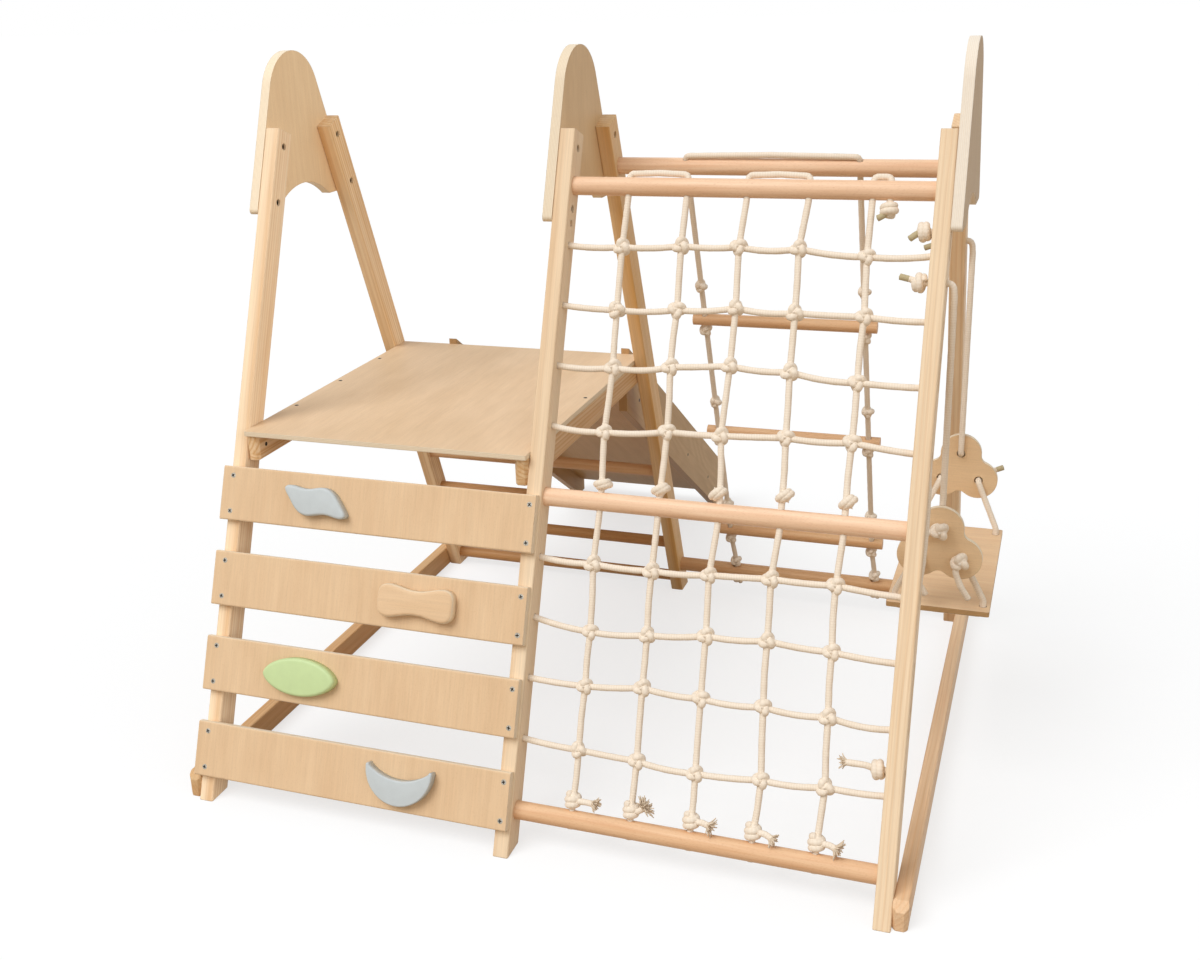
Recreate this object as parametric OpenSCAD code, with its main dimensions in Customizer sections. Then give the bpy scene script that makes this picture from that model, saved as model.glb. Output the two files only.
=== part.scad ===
// Wooden climbing frame: three leaning leg pairs, a deck with climbing boards and a slide in the
// left bay, a rope net and a rope ladder in the right bay, and a swing on the right leg pair.

/* [Leg pairs] */
// Width of a leg along the row of leg pairs
leg_w = 28; // [24:1:34]
// Depth of a leg, square to its length
leg_d = 48; // [44:1:56]
// Lean of a leg from upright, in degrees
lean = 21.8; // [21:0.1:22.2]
// Half the depth of a leg pair at the floor, over the outer faces
foot_half = 583; // [575:1:600]
// Height of a leg's upper outer edge
leg_top = 1170; // [1160:1:1180]
// Radius of the eased long edges of the pine bars
ease_r = 3; // [1:0.5:5]
// Middle of the left leg pair to the middle of the middle pair
bay_left = 591; // [560:1:640]
// Middle of the middle leg pair to the middle of the right pair
bay_right = 642; // [620:1:680]

/* [Cap plates] */
// Thickness of the plywood cap plates
cap_t = 18; // [12:1:20]
// Height of a cap plate's rounded top
cap_top = 1304; // [1290:1:1320]
// Height of a cap plate's lower edge
cap_low = 1016; // [1000:1:1020]
// Radius of a cap plate's rounded top
cap_r = 90.74; // [80:0.02:95]
// Half the width of the arch cut in a cap plate's lower edge
arch_half = 98; // [70:1:105]
// Rise of that arch
arch_rise = 35; // [20:1:45]

/* [Round bars] */
// Diameter of the beech bars in the right bay
bar_d = 32; // [28:1:34]
// Depth of the blind sockets that hold the bars in the legs
socket_depth = 10; // [6:1:10]
// Height of the two top bars
bar_top_z = 1073; // [1068:1:1078]
// Height of the middle net bar
bar_mid_z = 568; // [555:1:580]
// Height of the bottom net bar
bar_low_z = 65; // [55:1:80]
// Height of the bar that ties the rope ladder down
bar_rear_z = 72; // [62:1:85]

/* [Rails and deck] */
// Width of the floor and deck rails
rail_w = 25; // [22:1:28]
// Height of the floor and deck rails
rail_h = 48; // [40:1:52]
// Half the length of a floor rail
floor_rail_half = 575; // [560:1:585]
// Half the length of a deck rail
deck_rail_half = 340; // [330:1:345]
// Chamfer on the ends of the rails
rail_chamfer = 6; // [2:1:8]
// Corner cut from a floor rail's upper ends, clear of the lowest board
floor_rail_cut = 14; // [12:1:18]
// Height of the deck rails' lower face
deck_rail_z = 588; // [578:1:592]
// Thickness of the deck panel
deck_t = 9; // [8:1:15]
// Reach of the deck panel to the front
deck_front = 345; // [341:1:350]
// Reach of the deck panel to the rear
deck_back = 324; // [310:1:335]

/* [Climbing boards] */
// Number of climbing boards on the front legs
board_count = 4; // [3:1:4]
// Height of a climbing board along the slope
board_h = 100; // [90:1:110]
// Thickness of a climbing board
board_t = 15; // [12:1:18]
// Floor to the middle of the lowest board, along the slope
board_first = 88.5; // [84:0.5:95]
// Spacing of the boards along the slope
board_pitch = 158; // [150:1:160]
// Overhang of the boards past the left leg
board_over = 7; // [0:1:12]
// Thickness of the climbing holds
hold_t = 18; // [12:1:25]

/* [Rear bars] */
// Diameter of the round bars between the rear legs, under the slide
rear_bar_d = 26; // [22:1:30]
// Floor to the middle of the lowest of these bars, along the slope
rear_bar_first = 33.5; // [30:0.5:45]
// Spacing of these bars along the slope
rear_bar_pitch = 113; // [100:1:115]

/* [Ropes] */
// Diameter of the rope
rope_d = 11; // [9:0.5:12]
// Spacing of the upright net ropes
net_pitch = 103.5; // [95:0.5:108]
// Distance from a net bar to the nearest cross rope, along the slope
net_edge = 114; // [100:1:120]
// Diameter of the wrapped knots where net ropes cross
net_knot_d = 32; // [24:1:32]
// Diameter of the plain stopper knots
knot_d = 28; // [22:1:28]

/* [Rope ladder] */
// Diameter of the ladder rungs
rung_d = 24; // [20:1:28]
// Length of the ladder rungs
rung_len = 370; // [350:1:400]
// Distance between the ladder's two ropes
ladder_span = 322; // [300:1:330]
// Height of the lowest rung along the slope
rung_first = 210; // [190:1:230]
// Spacing of the rungs along the slope
rung_pitch = 297; // [280:1:305]

/* [Swing] */
// Height of the rope holes in the right legs
swing_hole_z = 936; // [925:1:945]
// Distance of the swing ropes from the legs' outer face
swing_off = 12; // [10:1:16]
// Height of the line about which the swing turns
swing_pivot_z = 846; // [836:1:848]
// Height of the top of the seat
seat_z = 375; // [350:1:400]
// Width of the seat, along the row of leg pairs
seat_w = 172; // [160:1:190]
// Length of the seat, front to back
seat_len = 376; // [376:1:400]
// Thickness of the seat
seat_t = 9; // [9:1:18]
// Thickness of the two rope spreaders
spreader_t = 10; // [8:1:15]
// Height of the spreaders' upper rope hole
spreader_z = 524; // [500:1:540]

/* [Slide] */
// Slope of the slide, in degrees
slide_slope = 33.6; // [33:0.1:34.2]
// Depth of the slide's side walls, square to the slope
slide_wall_d = 125; // [110:1:135]
// Thickness of the side walls
slide_wall_t = 18; // [12:1:20]
// Width of the slide over its side walls
slide_w = 425; // [400:1:440]
// Thickness of the slide bed
slide_bed_t = 10; // [6:1:12]
// Depth of the bed below the walls' upper edge, square to the slope
slide_bed_drop = 72; // [60:1:85]
// Distance of the slide's lower end from the middle of the leg pairs
slide_end = 1126; // [1110:1:1140]
// Height of the side walls above the deck, at the deck's rear edge
slide_lip = 12; // [8:1:20]
// Reach of the side walls' lugs under the deck
lug_reach = 24; // [15:1:35]

/* [Hidden] */
$fn = 48;
// One overrun serves all cuts.
cut = 2;
// Clearance of ropes, bars, screws and set-in pieces in their holes
hole_clear = 0.75;
fit_clear = 0.15;
seat_gap = 0.3;
slide_side_gap = 1.5;
// Size of the wood screws
screw_d = 4;
screw_head_d = 8;
screw_head_h = 4;
screw_bite = 15;
// Heights of the cap screws, as shares of the height that leg and plate have in common
cap_screw_share = [19 / 154, 118 / 154];
cap_screw_sink = 9;
cap_bore_d = 13;
cap_foot_r = 8;
spreader_bore_d = 16;
cap_screw_bite = 12;
board_screw_step = 33;
deck_screw_step = 175;
hold_screw_step = 28;
slide_screw_pitch = 240;
slide_screw_first = 130;

// Slope of the legs
lean_tan = tan(lean);
lean_cos = cos(lean);
lean_sin = sin(lean);
leg_dy = leg_d / lean_cos;
leg_len = leg_top / lean_cos - leg_dy / 2 * lean_sin;
function outer_y(z) = foot_half - z * lean_tan;
function mid_y(z) = outer_y(z) - leg_dy / 2;
function slope_s(z) = z / lean_cos;

// Places along the row: the middle leg pair is at zero before the whole is centred.
left_x = -bay_left;
right_x = bay_right;
leg_half = leg_w / 2;
bay_mid = bay_right / 2;
rope_r = rope_d / 2;
bar_r = bar_d / 2;

// Net rows and columns
bar_s = [slope_s(bar_low_z), slope_s(bar_mid_z), slope_s(bar_top_z)];
net_cols = 5;
net_rows = 4;
function net_x(i) = bay_mid + (i - (net_cols - 1) / 2) * net_pitch;
net_rise = 9;
function net_s(panel, k) = bar_s[panel] + net_edge + net_rise
    + k * (bar_s[panel + 1] - bar_s[panel] - 2 * net_edge) / (net_rows - 1);
row_s = [for (panel = [1, 0]) for (k = [net_rows - 1:-1:0]) net_s(panel, k)];
row_count = len(row_s);
loop_gap = 0.6;
// Grooves in the legs take the loops
loop_sink = rope_d + 2 * loop_gap;
loop_left_x = -leg_half + loop_sink / 2;
loop_right_x = right_x + leg_half - loop_sink / 2;
start_drop = 39;
end_rise = 40;
left_loops = [0:2:row_count - 1];
right_loops = [1:2:row_count - 2];
start_s = row_s[0] + start_drop;
finish_s = row_s[row_count - 1] + end_rise;
net_tail = 30;
foot_tail = 50;
end_tail = 66;
top_tail_step = 28;
bend_extra = 0.8;
bend_short = 1.5;
knot_short = 6.5;
ball_turn = [67, 23, 41];

// Rear bars
rear_bar_count = 4;
function rear_bar_s(i) = rear_bar_first + (i - 1) * rear_bar_pitch;

// Rope ladder
ladder_mid = 307;
ladder_knot_up = 82;
ladder_x = [ladder_mid - ladder_span / 2, ladder_mid + ladder_span / 2];
rung_count = 3;
function rung_s(k) = rung_first + k * rung_pitch;
ladder_bar_s = slope_s(bar_rear_z);
ladder_top_s = slope_s(bar_top_z);

// Swing
swing_x = right_x + leg_half + swing_off;
swing_y = mid_y(swing_hole_z);
spreader_y = swing_y + rope_r + loop_gap;
spreader_hole_x = 35;
spreader_hole_drop = 52;
seat_hole_x = seat_w / 2 - 12;
seat_hole_y = seat_len / 2 - 24;
seat_corner_r = 4;
// Free ends of the swing's knots, from the knot's middle
swing_tail = [[-34, 0, -8], [16, 0, -58]];
swing_gap = 0.4;
// Lobes of a spreader: distance from its upper hole, aside and down, and radius
lobe_top_r = 38;
lobe_low_r = 37;
lobe_low_x = 33;
lobe_low_drop = 51;
lobe_neck_r = 14;
lobe_steps = 24;
neck_steps = 8;

// Deck and slide
deck_z = deck_rail_z + rail_h;
deck_top = deck_z + deck_t;
deck_x0 = left_x + leg_half + seat_gap;
deck_x1 = -leg_half - seat_gap;
slide_x1 = -leg_half - rail_w - slide_side_gap;
slide_x0 = slide_x1 - slide_w;
slide_start = deck_back + seat_gap;
slide_tan = tan(slide_slope);
slide_cos = cos(slide_slope);
slide_sin = sin(slide_slope);
slide_rise = slide_wall_d / slide_cos;
function slide_top_z(y) = deck_top + slide_lip - (y - slide_start) * slide_tan;
slide_nose_r = 30;
nose_steps = 12;
slide_bed_in = slide_bed_drop * slide_tan + slide_bed_t;

// Climbing holds: middle of each along the row as a share of the left bay, from the left legs
hold_share = [0.677, 0.312, 0.677, 0.311];
hold_taper = 6 / 5;
hold_len = 146;
hold_h = 68;
wave_h = 50;
wave_shear = 20;
wave_swing = 3;
wave_step = 40;
bone_waist_share = 0.19;
moon_r = 64;
moon_tip_r = 3.4;
moon_bite_r = 94;
moon_bite_up = 74.5;
moon_up = 27;
outline_steps = 60;

// The whole is centred over its own floor box.
front_reach = mid_y(0) + (leg_d / 2 + board_t + hold_t) * lean_cos
    - (board_first + moon_up - moon_r) * lean_sin;
shift_x = -(left_x - leg_half - rail_w + swing_x + seat_w / 2) / 2;
shift_y = -(slide_end - front_reach) / 2;

pine = [0.88, 0.72, 0.50];
ply = [0.85, 0.71, 0.52];
beech = [0.87, 0.66, 0.47];
rope_tone = [0.90, 0.85, 0.75];
steel = [0.55, 0.55, 0.52];
blue_grey = [0.70, 0.78, 0.82];
pale_green = [0.76, 0.86, 0.66];

// Frames of reference

// The centred part
module placed() {
    translate([shift_x, shift_y, 0]) children();
}

// Front half as drawn, rear half mirrored
module facing(side) {
    if (side > 0) mirror([0, 1, 0]) children();
    else children();
}

// On the middle of a leg: X along the row, Y inwards through the leg, Z up along it from the floor
module on_slope(side) {
    facing(side) translate([0, -mid_y(0), 0]) rotate([-lean, 0, 0]) children();
}

// A cylinder from one point to another
module rod(p, q, d) {
    v = q - p;
    len = norm(v);
    translate(p) rotate([0, acos(v[2] / len), atan2(v[1], v[0])]) cylinder(h = len, d = d);
}

// A rope through a list of points. Its lengths stop short of each inner point, where a bend has a ball
// of its own and a point listed as tied is filled by a knot drawn apart.
module rope(points, tied = []) {
    last = len(points) - 1;
    for (i = [0:last - 1]) {
        v = points[i + 1] - points[i];
        u = v / norm(v);
        from = i == 0 ? 0 : short_of(i, tied);
        to = i + 1 == last ? 0 : short_of(i + 1, tied);
        rod(points[i] + from * u, points[i + 1] - to * u, rope_d);
    }
    if (last > 1)
        for (i = [1:last - 1]) if (short_of(i, tied) == bend_short) ball(points[i], rope_d + bend_extra);
}

function short_of(i, tied) = len(search(i, tied)) > 0 ? knot_short : bend_short;

// Its poles and seam point away from the ropes.
module ball(p, d) {
    translate(p) rotate(ball_turn) sphere(d = d);
}

// A rectangle with round corners, by its width and height
module eased(w, h, r) {
    square([w - 2 * r, h], center = true);
    square([w, h - 2 * r], center = true);
    for (x = [-1, 1], y = [-1, 1])
        translate([x * (w / 2 - r), y * (h / 2 - r)]) circle(r = r);
}

// A bar along X with eased long edges, from x0 to x1, of the given Y and Z sizes
module bar_along_x(x0, x1, wy, hz, r) {
    translate([x0, 0, 0]) rotate([90, 0, 90]) linear_extrude(x1 - x0) eased(wy, hz, r);
}

// A countersunk wood screw along -Z, with its head's face at the origin
module screw(len) {
    translate([0, 0, -screw_head_h]) cylinder(h = screw_head_h, d1 = screw_d, d2 = screw_head_d);
    translate([0, 0, -len]) cylinder(h = len - screw_head_h / 2, d = screw_d);
}

module screw_hole(len) {
    translate([0, 0, -screw_head_h]) {
        cylinder(h = screw_head_h, d1 = screw_d + 2 * fit_clear, d2 = screw_head_d + 2 * fit_clear);
        translate([0, 0, screw_head_h]) cylinder(h = cut, d = screw_head_d + 2 * fit_clear);
    }
    translate([0, 0, -len - fit_clear]) cylinder(h = len, d = screw_d + 2 * fit_clear);
}

// Screw places, each shown with a screw or cut as a hole by its children

// Cap screws enter from the face away from the cap plate, in a sunk hole.
cap_screw_len = leg_w - cap_screw_sink + cap_screw_bite;
cap_screw_z = [for (share = cap_screw_share) cap_low + share * (min(leg_top, cap_top) - cap_low)];
function head_side(x) = x == right_x ? -1 : 1;
module cap_screw_places(x, side) {
    for (z = cap_screw_z)
        translate([x + head_side(x) * (leg_half - cap_screw_sink), side * mid_y(z), z])
            rotate([0, head_side(x) * 90, 0]) children();
}

// Board screws enter square to the slope.
board_screw_len = board_t + screw_bite;
function board_s(i) = board_first + (i - 1) * board_pitch;
module board_screw_places(x, boards) {
    for (i = boards, k = [-1, 1])
        on_slope(-1) translate([x, -leg_d / 2 - board_t, board_s(i) + k * board_screw_step])
            rotate([90, 0, 0]) children();
}

// Rail screws enter from the rails' free faces into the legs.
rail_screw_len = rail_w + screw_bite;
module rail_screw_place(face_x, dir, side, z) {
    translate([face_x, side * mid_y(z), z]) rotate([0, dir * 90, 0]) children();
}
floor_screw_z = rail_h / 2;
deck_screw_z = deck_rail_z + rail_h / 2;
left_floor_face = left_x - leg_half - rail_w;
right_floor_face = right_x + leg_half + rail_w;
left_deck_face = left_x + leg_half + rail_w;
right_deck_face = -leg_half - rail_w;

module deck_screw_places() {
    for (x = [left_deck_face - rail_w / 2, right_deck_face + rail_w / 2], k = [-1:1])
        translate([x, k * deck_screw_step, deck_top]) children();
}

// Hold screws enter from behind the boards.
hold_screw_len = board_t + hold_t / 2;
function hold_x(i) = left_x + bay_left * hold_share[i - 1];
module hold_screw_places(i) {
    for (k = [-1, 1])
        on_slope(-1) translate([hold_x(i) + k * hold_screw_step, -leg_d / 2, board_s(i)])
            rotate([-90, 0, 0]) children();
}

// Along the slide bed, down from its upper end
module on_slide_bed() {
    translate([0, slide_start, slide_top_z(slide_start)])
        rotate([-slide_slope, 0, 0]) translate([0, 0, -slide_bed_drop - slide_bed_t / 2]) children();
}
slide_screw_len = slide_wall_t + screw_bite;
module slide_screw_places(face_x, dir) {
    for (k = [0:3])
        on_slide_bed() translate([face_x, slide_screw_first + k * slide_screw_pitch, 0])
            rotate([0, dir * 90, 0]) children();
}

// Legs

module leg(x, side) {
    color(pine) placed() difference() {
        intersection() {
            on_slope(side) translate([x, 0, -leg_dy])
                linear_extrude(leg_len + leg_dy) eased(leg_w, leg_d, ease_r);
            translate([x - leg_w, -foot_half - leg_d, 0])
                cube([2 * leg_w, 2 * (foot_half + leg_d), leg_top + leg_d]);
        }
        cap_screw_places(x, side) {
            screw_hole(cap_screw_len);
            cylinder(h = cap_screw_sink + cut, d = cap_bore_d);
        }
        children();
    }
}

// Blind socket for a round bar, in the leg's face on the given hand
module bar_socket(x, hand, side, z) {
    socket(x, hand, side, slope_s(z), bar_d);
}

module rear_bar_socket(x, hand, i) {
    socket(x, hand, 1, rear_bar_s(i), rear_bar_d);
}

module socket(x, hand, side, s, d) {
    on_slope(side) translate([x + hand * (leg_half - socket_depth), 0, s])
        rotate([0, hand * 90, 0]) cylinder(h = socket_depth + cut, d = d + 2 * fit_clear);
}

// Hole for a rope, along X through a leg
module rope_hole(x, side, s) {
    on_slope(side) translate([x - leg_half - cut, 0, s])
        rotate([0, 90, 0]) cylinder(h = leg_w + 2 * cut, d = rope_d + 2 * hole_clear);
}

// Groove along a leg's face for a loop of the net's rope, from hole to hole
module loop_groove(x, hand, s0, s1) {
    on_slope(-1) translate([x + hand * (leg_half - loop_sink / 2 + cut / 2), 0, (s0 + s1) / 2])
        cube([loop_sink + cut, rope_d + 2 * loop_gap, abs(s0 - s1)], center = true);
}

module leg_left_front() {
    leg(left_x, -1) {
        board_screw_places(left_x, [1:board_count]) screw_hole(board_screw_len);
        rail_screw_place(left_floor_face, -1, -1, floor_screw_z) screw_hole(rail_screw_len);
        rail_screw_place(left_deck_face, 1, -1, deck_screw_z) screw_hole(rail_screw_len);
    }
}

module leg_left_rear() {
    leg(left_x, 1) {
        for (i = [1:rear_bar_count]) rear_bar_socket(left_x, 1, i);
        rail_screw_place(left_floor_face, -1, 1, floor_screw_z) screw_hole(rail_screw_len);
        rail_screw_place(left_deck_face, 1, 1, deck_screw_z) screw_hole(rail_screw_len);
    }
}

module leg_middle_front() {
    leg(0, -1) {
        board_screw_places(0, [1:board_count]) screw_hole(board_screw_len);
        rail_screw_place(right_deck_face, -1, -1, deck_screw_z) screw_hole(rail_screw_len);
        for (z = [bar_top_z, bar_mid_z, bar_low_z]) bar_socket(0, 1, -1, z);
        for (s = row_s) rope_hole(0, -1, s);
        for (k = left_loops) loop_groove(0, -1, row_s[k], row_s[k + 1]);
        socket(0, 1, -1, start_s, rope_d);
    }
}

module leg_middle_rear() {
    leg(0, 1) {
        for (i = [1:rear_bar_count]) rear_bar_socket(0, -1, i);
        rail_screw_place(right_deck_face, -1, 1, deck_screw_z) screw_hole(rail_screw_len);
        for (z = [bar_top_z, bar_rear_z]) bar_socket(0, 1, 1, z);
    }
}

module leg_right_front() {
    leg(right_x, -1) {
        rail_screw_place(right_floor_face, 1, -1, floor_screw_z) screw_hole(rail_screw_len);
        for (z = [bar_top_z, bar_mid_z, bar_low_z]) bar_socket(right_x, -1, -1, z);
        for (s = concat(row_s, [start_s, finish_s, slope_s(swing_hole_z)])) rope_hole(right_x, -1, s);
        for (k = right_loops) loop_groove(right_x, 1, row_s[k], row_s[k + 1]);
        loop_groove(right_x, 1, start_s, row_s[0]);
        loop_groove(right_x, 1, finish_s, row_s[row_count - 1]);
    }
}

module leg_right_rear() {
    leg(right_x, 1) {
        rail_screw_place(right_floor_face, 1, 1, floor_screw_z) screw_hole(rail_screw_len);
        for (z = [bar_top_z, bar_rear_z]) bar_socket(right_x, -1, 1, z);
        rope_hole(right_x, 1, slope_s(swing_hole_z));
    }
}

// Cap plates: sides in line with the legs' outer faces, a round top and an arched lower edge

cap_round_z = cap_top - cap_r;
cap_round_y = max(0, outer_y(cap_round_z) - cap_r / lean_cos);
cap_reach = [outer_y(cap_low) - cap_round_y, cap_low - cap_round_z];
cap_turn = atan2(cap_reach[1], cap_reach[0]) + acos(min(1, cap_r / norm(cap_reach)));
cap_side = [cap_round_y + cap_r * cos(cap_turn), cap_round_z + cap_r * sin(cap_turn)];
arch_r = (arch_half * arch_half + arch_rise * arch_rise) / (2 * arch_rise);
// A half outline's points on the other hand, in turn
function mirrored(points) = [for (k = [len(points) - 1:-1:0]) [-points[k][0], points[k][1]]];
// One side of a plate, up from its rounded lower corner
cap_foot = [outer_y(cap_low), cap_low];
cap_slant = atan2(cap_foot[0] - cap_side[0], cap_side[1] - cap_foot[1]);
cap_foot_step = cap_foot_r * (1 + sin(cap_slant)) / cos(cap_slant);
cap_edge = concat([cap_foot - [cap_foot_step, 0]],
    bow(cap_foot + [-cap_foot_step, cap_foot_r], cap_foot_r, -90, cap_slant, neck_steps), [cap_side]);

// One round top where the sides meet in it, or two round corners on a wider plate
module cap_round() {
    low = min(cap_low, cap_round_z - cap_r);
    difference() {
        union() {
            for (y = cap_round_y > 0 ? [-cap_round_y, cap_round_y] : [0])
                translate([y, cap_round_z]) circle(r = cap_r);
            if (cap_round_y > 0) translate([-cap_round_y, cap_round_z]) square([2 * cap_round_y, cap_r]);
        }
        if (low < cap_low) translate([-outer_y(cap_low), low - cut])
            square([2 * outer_y(cap_low), cap_low - low + cut]);
    }
}

module cap_outline() {
    difference() {
        union() {
            polygon(concat(cap_edge, mirrored(cap_edge)));
            cap_round();
        }
        translate([0, cap_low + arch_rise - arch_r]) circle(r = arch_r);
    }
}

module cap(x, x0) {
    color(ply) placed() difference() {
        translate([x0, 0, 0]) rotate([90, 0, 90]) linear_extrude(cap_t) cap_outline();
        for (side = [-1, 1]) cap_screw_places(x, side) screw_hole(cap_screw_len);
    }
}

module cap_left() { cap(left_x, left_x - leg_half - cap_t); }
module cap_middle() { cap(0, -leg_half - cap_t); }
module cap_right() { cap(right_x, right_x + leg_half); }

module cap_screws() {
    color(steel) placed()
        for (x = [left_x, 0, right_x], side = [-1, 1]) cap_screw_places(x, side) screw(cap_screw_len);
}

// Rails and deck

// A rail along Y with eased edges and chamfered ends, its inner lower corner at x0
module rail(x0, half, z) {
    ends = [[-rail_w / 2, half - rail_chamfer], [-rail_w / 2 + rail_chamfer, half],
        [rail_w / 2 - rail_chamfer, half], [rail_w / 2, half - rail_chamfer]];
    plan = concat(ends, [for (p = ends) -p]);
    translate([x0 + rail_w / 2, 0, z + rail_h / 2]) intersection() {
        rotate([90, 0, 0]) linear_extrude(2 * half, center = true) eased(rail_w, rail_h, ease_r);
        linear_extrude(rail_h, center = true) polygon(plan);
    }
}

// The upper corners cut from a floor rail's ends
module rail_corners(x0) {
    edge = floor_rail_cut * sqrt(2);
    for (side = [-1, 1]) translate([x0 + rail_w / 2, side * floor_rail_half, rail_h])
        rotate([45, 0, 0]) cube([rail_w + 2 * cut, edge, edge], center = true);
}

module floor_rail_left() {
    color(pine) placed() difference() {
        rail(left_floor_face, floor_rail_half, 0);
        rail_corners(left_floor_face);
        for (side = [-1, 1])
            rail_screw_place(left_floor_face, -1, side, floor_screw_z) screw_hole(rail_screw_len);
    }
}

module floor_rail_right() {
    color(pine) placed() difference() {
        rail(right_x + leg_half, floor_rail_half, 0);
        rail_corners(right_x + leg_half);
        for (side = [-1, 1])
            rail_screw_place(right_floor_face, 1, side, floor_screw_z) screw_hole(rail_screw_len);
    }
}

module deck_rail_left() {
    color(pine) placed() difference() {
        rail(left_x + leg_half, deck_rail_half, deck_rail_z);
        for (side = [-1, 1])
            rail_screw_place(left_deck_face, 1, side, deck_screw_z) screw_hole(rail_screw_len);
        deck_screw_places() screw_hole(deck_t + screw_bite);
    }
}

module deck_rail_right() {
    color(pine) placed() difference() {
        rail(right_deck_face, deck_rail_half, deck_rail_z);
        for (side = [-1, 1])
            rail_screw_place(right_deck_face, -1, side, deck_screw_z) screw_hole(rail_screw_len);
        deck_screw_places() screw_hole(deck_t + screw_bite);
    }
}

module rail_screws() {
    color(steel) placed() for (side = [-1, 1]) {
        rail_screw_place(left_floor_face, -1, side, floor_screw_z) screw(rail_screw_len);
        rail_screw_place(right_floor_face, 1, side, floor_screw_z) screw(rail_screw_len);
        rail_screw_place(left_deck_face, 1, side, deck_screw_z) screw(rail_screw_len);
        rail_screw_place(right_deck_face, -1, side, deck_screw_z) screw(rail_screw_len);
    }
}

module deck_panel() {
    color(ply) placed() difference() {
        translate([(deck_x0 + deck_x1) / 2, (deck_back - deck_front) / 2, deck_z])
            linear_extrude(deck_t) eased(deck_x1 - deck_x0, deck_front + deck_back, ease_r);
        deck_screw_places() screw_hole(deck_t + screw_bite);
    }
}

module deck_screws() {
    color(steel) placed() deck_screw_places() screw(deck_t + screw_bite);
}

// Climbing boards and holds

module climbing_board(i) {
    color(ply) placed() difference() {
        on_slope(-1) translate([0, -leg_d / 2 - board_t / 2, board_s(i)])
            bar_along_x(left_x - leg_half - board_over, leg_half - ease_r, board_t, board_h, ease_r);
        for (x = [left_x, 0]) board_screw_places(x, [i:i]) screw_hole(board_screw_len);
        hold_screw_places(i) screw_hole(hold_screw_len);
    }
}

module climbing_board_1() { climbing_board(1); }
module climbing_board_2() { climbing_board(2); }
module climbing_board_3() { climbing_board(3); }
module climbing_board_4() { climbing_board(4); }

module board_screws() {
    color(steel) placed()
        for (x = [left_x, 0]) board_screw_places(x, [1:board_count]) screw(board_screw_len);
}

// A hold's outline, raised from the face of board i
module hold(i, tone) {
    color(tone) placed() difference() {
        on_slope(-1) translate([hold_x(i), -leg_d / 2 - board_t, board_s(i)])
            rotate([90, 0, 0]) linear_extrude(hold_t) children();
        hold_screw_places(i) screw_hole(hold_screw_len);
    }
}

// Flattened ellipse with blunt ends: an angle's share of the half length and half height
function blunt(v, power) = sign(v) * pow(abs(v), power);

module leaf_outline() {
    polygon([for (k = [0:outline_steps - 1]) let (a = 360 * k / outline_steps)
        [hold_len / 2 * cos(a), hold_h / 2 * blunt(sin(a), hold_taper)]]);
}

module bone_outline() {
    polygon([for (k = [0:outline_steps - 1]) let (a = 360 * k / outline_steps, c = blunt(cos(a), 1 / 2))
        [hold_len / 2 * c,
            hold_h / 2 * blunt(sin(a), 1 / 2) * (1 - bone_waist_share * (1 + cos(180 * c)))]]);
}

// A band that leans over, with a low wave in its long sides
module wave_outline() {
    polygon([for (k = [0:outline_steps - 1]) let (a = 360 * k / outline_steps,
        c = blunt(cos(a), 1 / 2), v = blunt(sin(a), 1 / 2),
        x = (hold_len / 2 - wave_shear) * c - wave_shear * v)
        [x, wave_h / 2 * v + wave_swing * sin(180 * x / wave_step)]]);
}

// Half a disc with a round bite out of its flat side and round tips
module moon_outline() {
    tip_x = moon_r - moon_tip_r;
    translate([0, moon_up]) {
        difference() {
            circle(r = moon_r);
            translate([0, moon_bite_up]) circle(r = moon_bite_r);
            translate([-moon_r, 0]) square(2 * moon_r);
        }
        for (hand = [-1, 1]) translate([hand * tip_x, 0]) circle(r = moon_tip_r);
    }
}

module hold_wave() { hold(4, blue_grey) wave_outline(); }
module hold_bone() { hold(3, ply) bone_outline(); }
module hold_leaf() { hold(2, pale_green) leaf_outline(); }
module hold_moon() { hold(1, blue_grey) moon_outline(); }

module hold_screws() {
    color(steel) placed() for (i = [1:board_count]) hold_screw_places(i) screw(hold_screw_len);
}

// Round bars between the rear legs of the left bay

module rear_bar(i) {
    color(beech) placed() on_slope(1) translate([left_x + leg_half - socket_depth, 0, rear_bar_s(i)])
        rotate([0, 90, 0]) cylinder(h = bay_left - leg_w + 2 * socket_depth, d = rear_bar_d);
}

module rear_bar_1() { rear_bar(1); }
module rear_bar_2() { rear_bar(2); }
module rear_bar_3() { rear_bar(3); }
module rear_bar_4() { rear_bar(4); }

// Round bars of the right bay, drilled for the ropes at the given places

module round_bar(side, z, places) {
    color(beech) placed() on_slope(side) translate([0, 0, slope_s(z)]) difference() {
        translate([leg_half - socket_depth, 0, 0]) rotate([0, 90, 0])
            cylinder(h = bay_right - leg_w + 2 * socket_depth, d = bar_d);
        for (x = places) translate([x, 0, -bar_r - cut])
            cylinder(h = bar_d + 2 * cut, d = rope_d + 2 * hole_clear);
    }
}

net_places = [for (i = [0:net_cols - 1]) net_x(i)];
top_tail_x = net_x(net_cols - 1) + top_tail_step;
module bar_top_front() { round_bar(-1, bar_top_z, concat(net_places, [top_tail_x])); }
module bar_top_rear() { round_bar(1, bar_top_z, ladder_x); }
module bar_middle() { round_bar(-1, bar_mid_z, net_places); }
module bar_bottom() { round_bar(-1, bar_low_z, net_places); }
module bar_ladder() { round_bar(1, bar_rear_z, ladder_x); }

// Climbing net: five upright ropes tied to a rope that runs to and fro through the legs

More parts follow.
